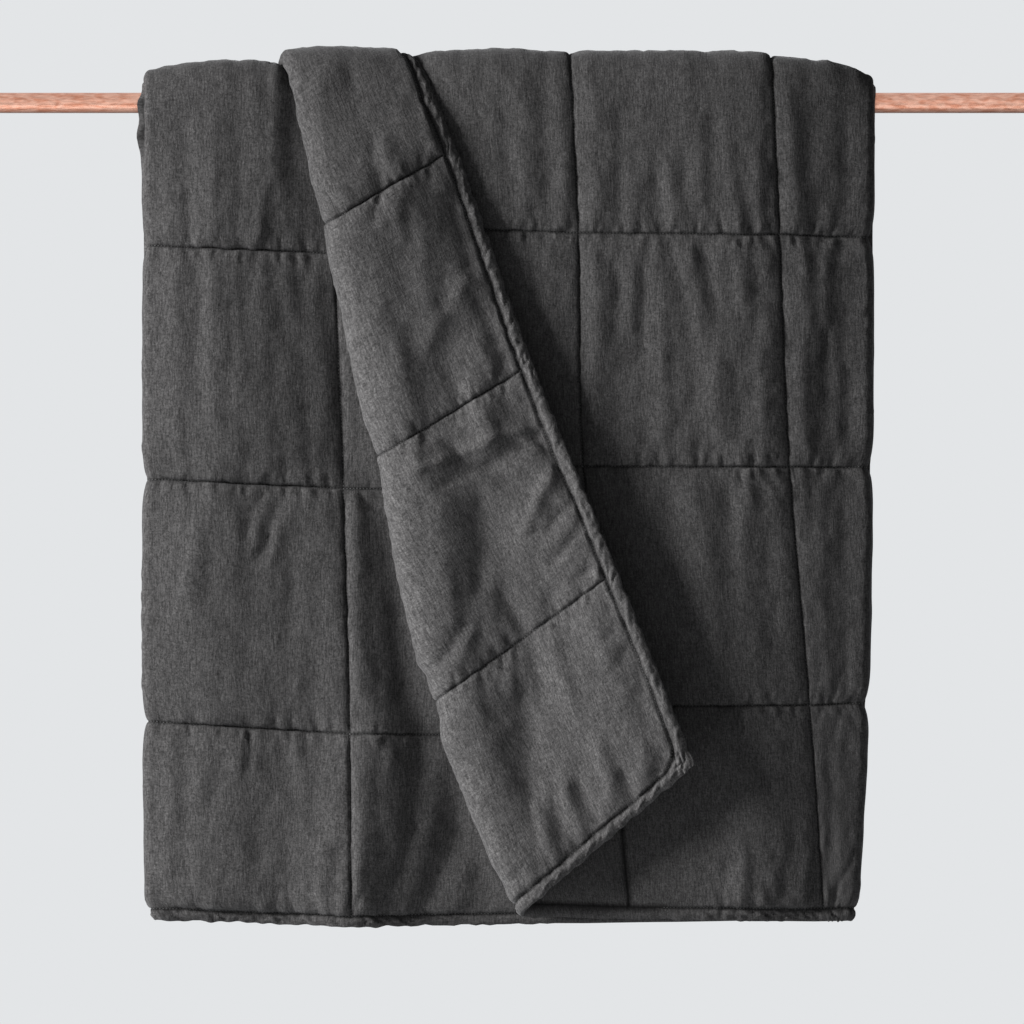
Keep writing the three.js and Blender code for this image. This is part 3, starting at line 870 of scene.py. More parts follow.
def seam_lines(row, fold):
    """The sewn lines that run along the cloth, and those that run across it."""
    along = [np.full_like(row["lift"], HEM), first_seam(row, fold)]
    along += [np.full_like(row["lift"], u) for u in (*COLUMN_SEAMS[1:], CLOTH_WIDTH - HEM)]
    across = [HEM, *ROW_LINES[1:-1], CLOTH_LENGTH - HEM]
    return along, across


def within_hem(u, v):
    """How far inside the hem's stitches a point lies, below 0 in the hem. They round the corners."""
    a, b = np.minimum(u, CLOTH_WIDTH - u) - HEM, np.minimum(v, CLOTH_LENGTH - v) - HEM
    in_round = CORNER_ROUND - np.hypot(CORNER_ROUND - a, CORNER_ROUND - b)
    return np.where((a < CORNER_ROUND) & (b < CORNER_ROUND), in_round, np.minimum(a, b))


def hem_place(u, v):
    """How far in from the edge a point of the hem lies. At a corner the side hem laps over."""
    from_side, from_end = np.minimum(u, CLOTH_WIDTH - u), np.minimum(v, CLOTH_LENGTH - v)
    side_hem = from_side < HEM
    return np.where(side_hem, from_side, np.minimum(from_side, from_end)), side_hem


# The relief of the two faces: puffed squares, puckers along the sewn lines, the hem and creases


def describe(u, v, side, row, fold, x, s):
    """What the relief asks of each point: its layer, how far it shows, and its sewn lines."""
    along_lines, across_lines = seam_lines(row, fold)
    from_column, column = nearest(u, along_lines)
    from_row, number = nearest(v, across_lines)
    hem_x, fold_x = flap_lines(s)
    over = over_rod(s)
    on_flap = u <= fold["end"]
    on_top = (u > fold["end"]) & (u < RIGHT_FOLD + FACE_PAST_FOLD)
    on_under = u > LEFT_FOLD - FACE_PAST_FOLD
    past_fold = x - fold_x - SHOWS["fold_over_rod"] * over
    shows = np.where(on_flap & (side < 0), 1.0, 0.0)
    shows = np.where(on_top & (side > 0), ease(x - hem_x, SHOWS["hem_start"], SHOWS["hem_end"]), shows)
    shows = np.where(on_under & (side > 0), 1 - ease(past_fold, SHOWS["fold_start"], 0), shows)

    # The top panel is drawn together at its right, so the patterns there follow x
    across = np.where(on_top, x + TOP_SHIFT, u)
    return SimpleNamespace(
        u=u, v=v, side=side, row=row, fold=fold, x=x, s=s, over=over, fold_x=fold_x,
        on_flap=on_flap, on_top=on_top, on_under=on_under, shows=shows, across=across,
        from_column=from_column, past_column=np.sign(u - np.choose(column, along_lines)),
        from_row=from_row, past_row=np.sign(v - np.asarray(across_lines)[number]),
        hem_row=(number == 0) | (number == len(across_lines) - 1), inner=within_hem(u, v))


def off_seams(height, at, kind):
    """The height brought down to 0 on the sewn lines."""
    off_row, off_column = FULL_OFF[kind]
    return height * fullness(at.from_row, off_row) * fullness(at.from_column, off_column)


def square_half(at):
    """Half of the thickness of the squares and how full they are there: thin on the sewn lines, with
    a narrow shoulder right beside them."""
    row_rise = np.where(at.hem_row, HEM_RISE, PUFF_RISE)
    full = fullness(at.from_column, PUFF_RISE) * fullness(at.from_row, row_rise)
    full = np.minimum(full, fullness(np.maximum(at.inner, 0), PUFF_RISE))
    wave = SHOULDER_UNEVEN["wave"]
    uneven = 1 + SHOULDER_UNEVEN["share"] * drift(at.u / wave, at.v / wave, SEEDS["shoulder"])
    shoulder = SEAM_SHOULDER * uneven * fullness(at.from_column, COLUMN_SHOULDER_RISE)
    shoulder = shoulder * fullness(at.from_row, SHOULDER_RISE)
    return mix(SEAM_HALF, PUFF_HALF - SEAM_SHOULDER, full) + shoulder, full


def column_cushion(at, full):
    """The outer face stands a little higher beside the sewn columns."""
    off = (at.from_column - COLUMN_CUSHION["from_seam"]) / COLUMN_CUSHION["width"]
    return np.where(at.side > 0, COLUMN_CUSHION["rise"], 0.0) * np.exp(-(off**2)) * full


def puckers(along, distance, side, seed):
    """Gathers that stand off a sewn line, with rounded tops and narrow valleys."""
    height = 0.0
    fan = drift(along / PUCKER["fan_wave"], 0 * distance, seed + SEEDS["pucker_fan"])
    along = along + PUCKER["fan"] * distance * fan
    for number, (wave, reach, rise) in enumerate(PUCKER_WAVES):
        off = distance / (PUCKER["stretch"] * wave) + PUCKER["side_off"] * side
        noise = drift(along / wave + PUCKER["side_along"] * side, off, seed + number)
        valley = 1 - np.clip(np.abs(noise) / PUCKER["valley"], 0, 1)
        shape = PUCKER["noise"] * noise + PUCKER["base"] - valley ** PUCKER["valley_curve"]
        height = height + rise * shape * np.exp(-distance / reach)
    floor = PUCKER["floor"]
    return np.where(height < 0, floor * np.tanh(height / floor), height)


def seam_puckers(at, settings):
    """The puckers off the rows run along u, and those off the columns along v."""
    rows = puckers(at.across, at.from_row, at.past_row, SEEDS["row_puckers"])
    rows = rows * settings.pucker_depth * np.where(at.hem_row, PUCKER["hem_row"], 1.0)
    columns = puckers(at.v, at.from_column, at.past_column, SEEDS["column_puckers"])
    columns = columns * settings.column_pucker_depth
    room = fullness(at.from_column, PUCKER["off_column"]) * fullness(at.from_row, PUCKER["off_row"])
    crossing = PUCKER["crossing"]
    return (rows * fullness(at.from_column, crossing) + columns * fullness(at.from_row, crossing)) * room


def soft_wave(name, at, sway=0.0):
    wave_across, wave_along, rise, seed = SOFT_WAVES[name]
    return drift(at.across / wave_across, at.v / wave_along + sway, seed) * rise


def crumple(u, v):
    """Fine broken creases all over, as washed linen has them."""
    height = 0.0
    for number, (wave, rise) in enumerate(CRUMPLE_WAVES):
        slow = CRUMPLE["sway_wave"] * wave
        sway = CRUMPLE["sway"] * drift(u / slow, v / slow, SEEDS["crumple_sway"] + number)
        noise = drift(u / wave + sway, v / (CRUMPLE["stretch"] * wave) - sway, SEEDS["crumple"] + number)
        height = height + rise * (np.clip(np.abs(noise) / CRUMPLE["width"], 0, 1) - CRUMPLE["level"])
    return height


def linen_waves(at, settings):
    """The soft waves in the squares, and the fine creases."""
    detail = 1 - ease(at.s, *DETAIL_ENDS)
    waves = soft_wave("narrow", at, soft_wave("sway", at)) + soft_wave("wide", at)
    waves = waves + soft_wave("fine", at) * detail
    fine = crumple(at.across, at.v) * settings.crumple_depth * detail
    return off_seams(waves, at, "waves") * settings.wave_depth + off_seams(fine, at, "crumple")


def crease_height(layer, x, s):
    """The height of one layer's creases, which wander a little off their straight lines."""
    by, wave = CREASE_WANDER["by"], CREASE_WANDER["wave"]
    x, s = (x + by * drift(x / wave, s / wave, SEEDS["crease_x"]),
            s + by * drift(x / wave, s / wave, SEEDS["crease_s"]))
    shape = CREASE_PROFILE
    height = 0.0
    for x0, s0, x1, s1, width, rise in CREASES[layer]:
        run_x, run_s = x1 - x0, s1 - s0
        t = np.clip(((x - x0) * run_x + (s - s0) * run_s) / (run_x**2 + run_s**2), 0, 1)
        off = (x - x0 - t * run_x) ** 2 + (s - s0 - t * run_s) ** 2
        slim = width / 2 * (shape["ends"] + shape["middle"] * t * (1 - t))
        off = np.sqrt(off / slim**2 + shape["tip"]) - shape["tip_root"]
        height = height + rise * np.exp(-shape["fall"] * off)
    return height


def edge_roll(inside):
    """How far the face drops towards a side fold, from a soft rise further in."""
    t = np.clip(inside / EDGE_ROLL["width"], 0, 1)
    rise = EDGE_ROLL["rise"] * np.exp(-(((inside - EDGE_ROLL["width"]) / EDGE_ROLL["rise_width"]) ** 2))
    return EDGE_ROLL["drop"] * (1 - t) ** EDGE_ROLL["curve"] + rise


def layer_forms(at, settings):
    """The creases of each layer that shows, its rolled edge, and the flap's crown."""
    height = np.where(at.on_flap, FLAP_CREASES * crease_height("flap", at.x, at.s), 0.0)
    height = np.where(at.on_top, crease_height("top", at.x, at.s), height)
    height = np.where(at.on_under, crease_height("under", at.x, at.s), height)
    height = off_seams(height, at, "creases") * settings.crease_depth
    height = height + np.where(at.on_under, edge_roll(at.x - at.row["left_x"]), 0)
    height = height + np.where(at.on_top, RIGHT_ROLL_SHARE * edge_roll(at.row["right_x"] - at.x), 0)
    crown = bend(SEWN_ROWS["flap_crown"], at.v)
    crown = crown * np.sin(math.pi * flap_reach(at.u, at.fold) ** FLAP_CROWN_CURVE)
    return height + np.where(at.on_flap, crown, 0)


def under_forms(at, height):
    """Adds the under panel's own forms: the dip at the flap's fold, its fullness over the rod and
    the pillows at the left."""
    to_fold = np.clip((at.x - at.fold_x) / UNDER_DIP["width"] + UNDER_DIP["past"], 0, 1)
    dip = bend(SEWN_ROWS["under_dip"], at.v) * to_fold ** UNDER_DIP["curve"]
    height = height - np.where(at.on_under, dip, 0)
    beside = at.over * np.exp(-(((at.x - BESIDE_FOLD["x"]) / BESIDE_FOLD["width"]) ** 2))
    height = height + np.where(at.on_under, BESIDE_FOLD["rise"] * beside, 0)
    pillow = 1 - (1 - np.clip(at.from_column / (SQUARE / 2), 0, 1)) ** 2
    pillow = pillow * fullness(at.from_row, LEFT_CROWN["beside_row"])
    at_left = at.on_under & (at.u < COLUMN_SEAMS[7])
    return height + np.where(at_left, LEFT_CROWN["rise"] * pillow * (1 - at.over), 0)


def top_swell(at):
    """How far the cloth swells where it goes over the rod."""
    swell = np.interp(at.x, TOP_SWELL["x"], TOP_SWELL["rise"])
    on_flap = FLAP_SWELL["rise"] * (2 * ease(at.x, FLAP_SWELL["from_x"], FLAP_SWELL["to_x"]) - 1)
    swell = swell + np.where(at.on_flap, on_flap, 0)
    return swell * at.over * np.sin(np.clip(at.s / BACK_START, 0, 1) * math.pi)


def peek_twist(at):
    """The twist of the inner layer where it looks out at the left."""
    off_fold = (at.u - LEFT_FOLD + LEFT_PEEK["twist_before"]) / LEFT_PEEK["twist_width"]
    near = np.exp(-(off_fold**2) - off_peek(at.s))
    phase = (at.s - LEFT_PEEK["s"]) / LEFT_PEEK["twist_wave"] + (at.u - LEFT_FOLD) / LEFT_PEEK["twist_lean"]
    return LEFT_PEEK["twist"] * np.sin(phase) * near


def hem_half(at, settings):
    """Half of the hem's thickness: a round narrow band with short ridges across it."""
    from_edge, side_hem = hem_place(at.u, at.v)
    inside = np.clip(from_edge / np.maximum(from_edge - np.minimum(at.inner, 0), TINY), 0, 1)
    bow = np.sin(math.pi * inside)
    half = mix(EDGE_HALF, HEM_STITCH_HALF, inside) + (HEM_HALF - EDGE_HALF) * bow
    along = np.where(side_hem, at.v, at.across + END_HEM_SHIFT)
    leaning = along + HEM_PINCH["lean"] * from_edge
    noise = drift(leaning / HEM_PINCH["wave"], from_edge / HEM_PINCH["across"], SEEDS["hem_pinch"])
    valley = (1 - np.clip(np.abs(noise) / HEM_PINCH["valley_width"], 0, 1)) ** HEM_PINCH["valley_curve"]
    pinch = HEM_PINCH["noise"] * noise + HEM_PINCH["base"] - HEM_PINCH["valley"] * valley
    slow = drift(along / HEM_PINCH["slow_wave"], from_edge / HEM_PINCH["slow_across"], SEEDS["hem_slow"])
    ridges = pinch * np.where(at.on_flap, HEM_PINCH["flap"], HEM_PINCH["panels"]) + slow
    return half + ridges * bow ** HEM_PINCH["spread"] * at.shows * settings.hem_depth


def relief(at, settings):
    """How far each face stands off the middle of the cloth's thickness."""
    half, full = square_half(at)
    height = seam_puckers(at, settings) + linen_waves(at, settings)
    height = height + under_forms(at, layer_forms(at, settings))
    height = height + top_swell(at) + column_cushion(at, full)
    raised = half + height * at.shows + peek_twist(at)
    half = THIN + np.logaddexp(0, (raised - THIN) / THIN) * THIN
    return np.where(at.inner < 0, np.maximum(hem_half(at, settings), THIN), half)


def drawn_in(along, end, other, seed):
    """How far the waves of the cloth's edge draw a point inwards along u or v."""
    in_hem = 1 - np.clip(np.minimum(along, end - along) / HEM, 0, 1)
    wave = EDGE_WAVE["base"] + EDGE_WAVE["noise"] * drift(other / EDGE_WAVE["wave"], 0 * other, seed)
    return EDGE_WAVE["depth"] * wave * in_hem * np.sign(end / 2 - along)


def pull_seams(point, at):
    """Moves the points as the thread pulls them: in at the side folds, off the straight sewn lines,
    and the end hems in under the squares."""
    from_row, _ = nearest(at.v, ROW_LINES[1:-1])
    pinch = EDGE_PINCH["depth"] * (np.exp(-from_row / EDGE_PINCH["along"]) - EDGE_PINCH["rest"])
    at_left = np.exp(-(((at.u - LEFT_FOLD) / EDGE_PINCH["across"]) ** 2))
    at_right = np.exp(-(((at.u - RIGHT_FOLD) / EDGE_PINCH["across"]) ** 2))
    point[:, 0] += pinch * (at_left - at_right)
    rise, slow = SEAM_WANDER["rise"], SEAM_WANDER["slow_wave"]
    up = drift(at.u / SEAM_WANDER["row_wave"], at.v / slow, SEEDS["wander_up"])
    across = drift(at.u / slow, at.v / SEAM_WANDER["column_wave"], SEEDS["wander_across"])
    point[:, 2] += rise * up * at.shows
    point[:, 0] += rise * across * at.shows
    from_end = np.minimum(at.v, CLOTH_LENGTH - at.v)
    tuck = 1 - ease(from_end, HEM - HEM_TUCK["before"], HEM + HEM_TUCK["past"])
    tuck = HEM_TUCK["depth"] * tuck * ease(at.u, at.fold["end"], at.fold["end"] + HEM_TUCK["beside_flap"])
    point[:, 1] += tuck * np.where(at.v < CLOTH_LENGTH / 2, 1, -1)


def lay_cloth(flat, settings):
    """Folds and hangs the flat cloth: takes its points as u, v and side, and gives them in space."""
    u, v, side = flat.T
    drawn_u = u + drawn_in(u, CLOTH_WIDTH, v, SEEDS["side_edge"])
    drawn_v = v + drawn_in(v, CLOTH_LENGTH, u, SEEDS["end_edge"])
    row = row_at(drawn_v)
    fold = flap_frame(drawn_v, row)
    x, s, depth = place(drawn_u, row, fold)
    at = describe(u, v, side, row, fold, x, s)
    point = hang(x, s, depth)
    pull_seams(point, at)

    # Each face leaves a gap to the next layer, and the inner layer's lower face lies on the rod
    pitch = pitch_at(x, s)
    room = np.minimum(PUFF_HALF, np.minimum(pitch / 2 - LAYER_GAP, fold["roll"] - LAYER_GAP)) / PUFF_HALF
    half = relief(at, settings) * room
    from_folds = np.minimum(u - RIGHT_FOLD, LEFT_FOLD - u)
    seat = ease(from_folds, 0, 3 * SIDE_HALF) * (side > 0)
    half = mix(half, pitch / 2 - SEAT_GAP, at.over * seat)
    return (point + cloth_normal(u, v) * (side * half)[:, None]) * MM


# Cutting the cloth: a flat slab, x across the folds, y along the cloth, z 1 outside and -1 inside


def steps(start, end, cell, beside_start, beside_end):
    """Places from start to end, with a narrow cell beside a sewn line."""
    low = start + BESIDE_SEAM if beside_start else start
    high = end - BESIDE_SEAM if beside_end else end
    count = max(1, round((high - low) / cell))
    places = list(np.linspace(low, high, count + 1))
    return ([start] if beside_start else []) + places + ([end] if beside_end else [])


def joined(pieces):
    """The pieces as one row of places. Each begins where the one before it ends."""
    places = [pieces[0][0]]
    for piece in pieces:
        places += piece[1:]
    return np.array(places)


def cloth_columns():
    """Places across the cloth, close together on the panels that show."""
    second, third, eighth, ninth = (COLUMN_SEAMS[k] for k in (1, 2, 7, 8))
    past_eighth = [eighth + BESIDE_SEAM + k * CELL for k in range(4)]
    return joined([
        [0.0, HEM / 2, HEM],
        steps(HEM, second, CELL, True, True),
        steps(second, third, CELL, True, True),
        steps(third, RIGHT_START, CELL, True, False),
        list(np.linspace(RIGHT_START, RIGHT_END, SIDE_ROLL_CELLS + 1)),
        steps(RIGHT_END, LEFT_START, WIDE_CELL, False, False),
        list(np.linspace(LEFT_START, LEFT_END, SIDE_ROLL_CELLS + 1)),
        steps(LEFT_END, eighth, CELL, False, True),
        [eighth, *past_eighth],
        steps(past_eighth[-1], ninth, WIDE_CELL, False, False),
        steps(ninth, CLOTH_WIDTH - HEM, WIDE_CELL, False, False),
        [CLOTH_WIDTH - HEM, CLOTH_WIDTH - HEM / 2, CLOTH_WIDTH],
    ])


def cloth_rows():
    """Places along the cloth, from the front hem to the rear one."""
    lines = [HEM, *ROW_LINES[1:-1], CLOTH_LENGTH - HEM]
    squares = [steps(low, high, CELL, True, True) for low, high in zip(lines, lines[1:])]
    last_hem = [CLOTH_LENGTH - HEM, CLOTH_LENGTH - HEM / 2, CLOTH_LENGTH]
    return joined([[0.0, HEM / 2, HEM], *squares, last_hem])


def flat_slab():
    """The whole cloth flat, both faces and the edge between them."""
    columns, rows = cloth_columns(), cloth_rows()
    bm = bmesh.new()
    across, along = len(columns) - 1, len(rows) - 1
    bmesh.ops.create_grid(bm, x_segments=across, y_segments=along, size=0.5)
    for vert in bm.verts:
        column = round((vert.co.x + 0.5) * across)
        row = round((vert.co.y + 0.5) * along)
        vert.co = (columns[column], rows[row], -1)
    upper = bmesh.ops.extrude_face_region(bm, geom=bm.faces[:])["geom"]
    bmesh.ops.translate(bm, verts=only_verts(upper), vec=(0, 0, 2))
    bmesh.ops.recalc_face_normals(bm, faces=bm.faces[:])
    return bm


def only_verts(geometry):
    return [element for element in geometry if isinstance(element, bmesh.types.BMVert)]


def showing(flat):
    """1 for each flat point that shows from the front, 2 for one that shows from behind, else 0."""
    u, v, side = flat.T
    row = row_at(v)
    fold = flap_frame(v, row)
    x, s, _ = place(u, row, fold)
    hem_x, fold_x = flap_lines(s)
    flap = (u < fold["end"] + CUT_PAST["flap"]) & (side < 0.5)
    top = (u > fold["end"]) & (u < RIGHT_FOLD + CUT_PAST["side"]) & (x > hem_x - CUT_PAST["hem"])
    under = (u > LEFT_FOLD - CUT_PAST["side"]) & (x < fold_x + CUT_PAST["fold"])
    shows = flap | ((top | under) & (side > -0.5))
    return np.where(shows & (s < FRONT_END), 1, np.where(shows, 2, 0))


def fine_edges(bm):
    """The edges to halve along the sewn rows and the hems, because the puckers are short there."""
    ends = np.array([[vert.co[:] for vert in edge.verts] for edge in bm.edges])
    u, v, side = ((ends[:, 0] + ends[:, 1]) / 2).T
    run_u, run_v, _ = np.abs(ends[:, 0] - ends[:, 1]).T
    on_face = np.abs(side) > 0.5
    along_u = (run_u > run_v) & (run_u < FINE_CELL)
    along_v = (run_v > run_u) & (run_v < FINE_CELL)
    fine = along_u & (nearest(v, ROW_LINES[1:-1])[0] < FINE_BESIDE_ROW) & on_face
    fine |= along_u & (np.minimum(v, CLOTH_LENGTH - v) < HEM + FINE_BESIDE_HEM)
    fine |= along_v & (np.minimum(u, CLOTH_WIDTH - u) < HEM + FINE_BESIDE_HEM)
    at_corner = (u < HEM + FINE_AT_CORNER) & (v < HEM + FINE_AT_CORNER)
    fine |= (np.maximum(run_u, run_v) < FINE_CELL) & at_corner & on_face
    return [edge for edge, wanted in zip(bm.edges, fine) if wanted]


def refine(bm):
    """Cuts the faces that show into finer ones, most of all in front."""
    kinds = showing(np.array([face.calc_center_median() for face in bm.faces]))
    faces = list(bm.faces)
    front = {edge for face, kind in zip(faces, kinds) if kind == 1 for edge in face.edges}
    rear = {edge for face, kind in zip(faces, kinds) if kind == 2 for edge in face.edges} - front
    bmesh.ops.subdivide_edges(bm, edges=list(rear), cuts=REAR_CUTS, use_grid_fill=True)
    bmesh.ops.subdivide_edges(bm, edges=list(front), cuts=FRONT_CUTS, use_grid_fill=True)
    bmesh.ops.subdivide_edges(bm, edges=fine_edges(bm), cuts=1, use_grid_fill=True)


# The stitches


def rounded(line, along, width, length):
    """A hem line with its ends bent inwards, and which of its places the thread keeps: at a corner
    each of the two hem lines ends where they meet."""
    short = np.clip(CORNER_ROUND + HEM - np.minimum(along, length - along), 0, CORNER_ROUND)
    off = CORNER_ROUND - np.sqrt(CORNER_ROUND**2 - short**2)
    is_hem = (line == HEM) | (line == width - HEM)
    keep = ~is_hem | (off < CORNER_ROUND * CORNER_MEET)
    return line + np.where(is_hem, off * np.sign(width / 2 - line), 0), keep


def sewn_paths():
    """The sewn lines as flat points u, v and side, close together."""
    along_v = np.arange(HEM, CLOTH_LENGTH - HEM, 1.0)
    along_u = np.arange(HEM, CLOTH_WIDTH - HEM, 1.0)
    row = row_at(along_v)
    columns, rows = seam_lines(row, flap_frame(along_v, row))
    paths = []
    for side in (-1.0, 1.0):
        for line in columns:
            line, keep = rounded(line, along_v, CLOTH_WIDTH, CLOTH_LENGTH)
            paths.append(np.stack([line, along_v, np.full_like(along_v, side)], axis=-1)[keep])
        for line in rows:
            line, keep = rounded(np.full_like(along_u, line), along_u, CLOTH_LENGTH, CLOTH_WIDTH)
            paths.append(np.stack([along_u, line, np.full_like(along_u, side)], axis=-1)[keep])
    return paths


def span(flat, way, settings):
    """The way in space from a little before each flat point to a little past it."""
    return lay_cloth(flat + way, settings) - lay_cloth(flat - way, settings)


def stitch_places(settings):
    """Where each stitch that shows lies: its middle, and its way along, across and up."""
    middles, alongs, acrosses = [], [], []
    for path in sewn_paths():
        kinds = showing(path)
        if not kinds.any():
            continue
        points = lay_cloth(path, settings)
        length = np.concatenate(([0], np.cumsum(np.linalg.norm(np.diff(points, axis=0), axis=1)))) / MM
        places = np.arange(STITCH["from_end"], length[-1] - STITCH["from_end"], STITCH["step"])
        at = np.interp(places, length, np.arange(len(path)))
        at = at[kinds[np.round(at).astype(int)] > 0]
        flat = np.stack([np.interp(at, np.arange(len(path)), path[:, k]) for k in range(3)], axis=-1)
        ahead, aside = np.array([0, 1, 0]), np.array([1, 0, 0])
        if path[1, 1] <= path[0, 1]:
            ahead, aside = aside, ahead
        alongs.append(span(flat, ahead * STITCH["probe_along"], settings))
        acrosses.append(span(flat, aside * STITCH["probe_across"], settings))
        middles.append(lay_cloth(flat, settings))
    middle_points, along, across = (np.concatenate(part) for part in (middles, alongs, acrosses))
    along /= np.linalg.norm(along, axis=1, keepdims=True)
    up = np.cross(along, across)
    up /= np.linalg.norm(up, axis=1, keepdims=True)
    return middle_points, along, np.cross(up, along), up


def beads(count):
    """That many beads of thread side by side along x, in millimetres, BEADS_APART from each other."""
    bm = bmesh.new()
    bmesh.ops.create_uvsphere(bm, u_segments=BEAD_CUTS, v_segments=BEAD_CUTS, radius=0.5)
    bmesh.ops.rotate(bm, verts=bm.verts[:], matrix=Matrix.Rotation(math.pi / 2, 3, "Y"))
    bmesh.ops.scale(bm, verts=bm.verts[:], vec=(STITCH["length"], STITCH["width"], STITCH["height"]))
    made = 1
    while made < count:
        copy = bmesh.ops.duplicate(bm, geom=bm.verts[:] + bm.edges[:] + bm.faces[:])["geom"]
        bmesh.ops.translate(bm, verts=only_verts(copy), vec=(made * BEADS_APART, 0, 0))
        made *= 2
    spare = [vert for vert in bm.verts if round(vert.co.x / BEADS_APART) >= count]
    bmesh.ops.delete(bm, geom=spare, context="VERTS")
    return bm


# The painted shade and painted light on the linen, from 0 to 1 at each point


def thread_shade(u, v, row, fold):
    """Painted shade in the groove beside a sewn line, where the thread pulls the linen in."""
    along, across = seam_lines(row, fold)
    distance = np.minimum(nearest(u, along)[0], nearest(v, across)[0])
    inner = within_hem(u, v)
    bent = HEM + CORNER_ROUND
    at_corner = (np.minimum(u, CLOTH_WIDTH - u) < bent) & (np.minimum(v, CLOTH_LENGTH - v) < bent)
    in_hem = -inner * SEAM_SHADE["in_hem"]
    distance = np.where(inner < 0, in_hem, np.where(at_corner, inner, distance))
    return np.clip(1 - distance / SEAM_SHADE["width"], 0, 1)


def slit_shade(u, v, side, row, fold):
    """Painted shade in the slit in front of the peek at the left, and at the bottom of the inner layer."""
    _, turn = side_turns(u)
    s = place(u, row, fold)[1]
    slit = np.exp(-(((turn - SLIT_SHADE["turn"]) / SLIT_SHADE["width"]) ** 2)) * (side > 0)
    broken = SLIT_SHADE["broken"] * np.sin(s / SLIT_SHADE["wave"] + SLIT_SHADE["lean"] * turn)
    slit = slit * (1 - SLIT_SHADE["broken"] + broken) * np.exp(-off_peek(s))
    from_fold = np.minimum(u - RIGHT_FOLD, LEFT_FOLD - u)
    bottom = INNER_SHADE["share"] * (1 - ease(v, INNER_SHADE["start"], INNER_SHADE["end"]))
    return np.maximum(slit, np.where(from_fold > INNER_SHADE["from_fold"], bottom, 0))


def painted_flap_light_share(u, v, side, row):
    """How much painted light the flap's face gets, most towards its loose corner."""
    on_flap = (u < row["flap_width"] + PAINTED_FLAP_LIGHT["past_fold"]) & (side < 0)
    return on_flap * (1 - ease(v, PAINTED_FLAP_LIGHT["start"], PAINTED_FLAP_LIGHT["end"]))


def add_shades(mesh, flat):
    """Writes what the linen's material asks of each point: its place on the flat cloth in metres, the
    painted shade of its seams and slit, and the painted light on the flap's lower part."""
    loops = np.empty(len(mesh.loops), int)
    mesh.loops.foreach_get("vertex_index", loops)
    layer = mesh.uv_layers.new(name="cloth")
    layer.data.foreach_set("uv", (flat[loops, :2] * MM).ravel())
    u, v, side = flat.T
    row = row_at(v)
    fold = flap_frame(v, row)
    slit = SLIT_SHADE["share"] * slit_shade(u, v, side, row, fold)
    shades = {
        "painted_shade": np.maximum(thread_shade(u, v, row, fold), slit),
        "painted_flap_light": painted_flap_light_share(u, v, side, row),
    }
    for name, values in shades.items():
        attribute = mesh.attributes.new(name, "FLOAT", "POINT")
        attribute.data.foreach_set("value", values.astype(np.float32))


# Nodes and materials


def linear(text):
    """An sRGB hex colour as linear RGBA."""
    channels = [int(text[k:k + 2], 16) / 255 for k in (0, 2, 4)]
    return [c / 12.92 if c <= 0.04045 else ((c + 0.055) / 1.055) ** 2.4 for c in channels] + [1.0]


def add_node(tree, kind, settings=None, links=None, **inputs):
    """Adds a node with its settings, its inputs by name and the links into it."""
    node = tree.nodes.new(kind)
    for name, value in (settings or {}).items():
        setattr(node, name, value)
    for name, value in inputs.items():
        node.inputs[name.replace("_", " ")].default_value = value
    for socket, source in (links or {}).items():
        tree.links.new(source, node.inputs[socket])
    return node


def new_material(name):
    material = bpy.data.materials.new(name)
    material.use_nodes = True
    material.node_tree.nodes.clear()
    return material, material.node_tree


def add_surface(tree, links=None, **inputs):
    """Adds the shader that the material shows."""
    shader = add_node(tree, "ShaderNodeBsdfPrincipled", links=links, **inputs)
    add_node(tree, "ShaderNodeOutputMaterial", links={"Surface": shader.outputs["BSDF"]})
    return shader


def remap(tree, value, low, high, to_low, to_high):
    return add_node(tree, "ShaderNodeMapRange", links={"Value": value}, **{
        "From_Min": low, "From_Max": high, "To_Min": to_low, "To_Max": to_high}).outputs["Result"]


def product(tree, a, b):
    return add_node(tree, "ShaderNodeMath", {"operation": "MULTIPLY"}, {0: a, 1: b}).outputs["Value"]


def stretched_noise(tree, vector, scale, detail, wander=0.0):
    """Noise between 0 and 1 with its own scale along each axis."""
    scaled = add_node(tree, "ShaderNodeMapping", links={"Vector": vector}, Scale=scale)
    return add_node(tree, "ShaderNodeTexNoise", links={"Vector": scaled.outputs["Vector"]},
                    Scale=1.0, Detail=detail, Distortion=wander).outputs["Fac"]


def two_colours(tree, value, first_at, first, last_at, last):
    """Goes from one colour to the other as the value rises."""
    ramp = add_node(tree, "ShaderNodeValToRGB", links={"Fac": value})
    for stop, position, colour in zip(ramp.color_ramp.elements, (first_at, last_at), (first, last)):
        stop.position = position
        stop.color = colour
    return ramp.outputs["Color"]


def bumps(tree, height, strength, distance):
    """Normals bent by a height, as if it were a relief of that distance in metres."""
    node = add_node(tree, "ShaderNodeBump", links={"Height": height}, Strength=strength, Distance=distance)
    return node.outputs["Normal"]


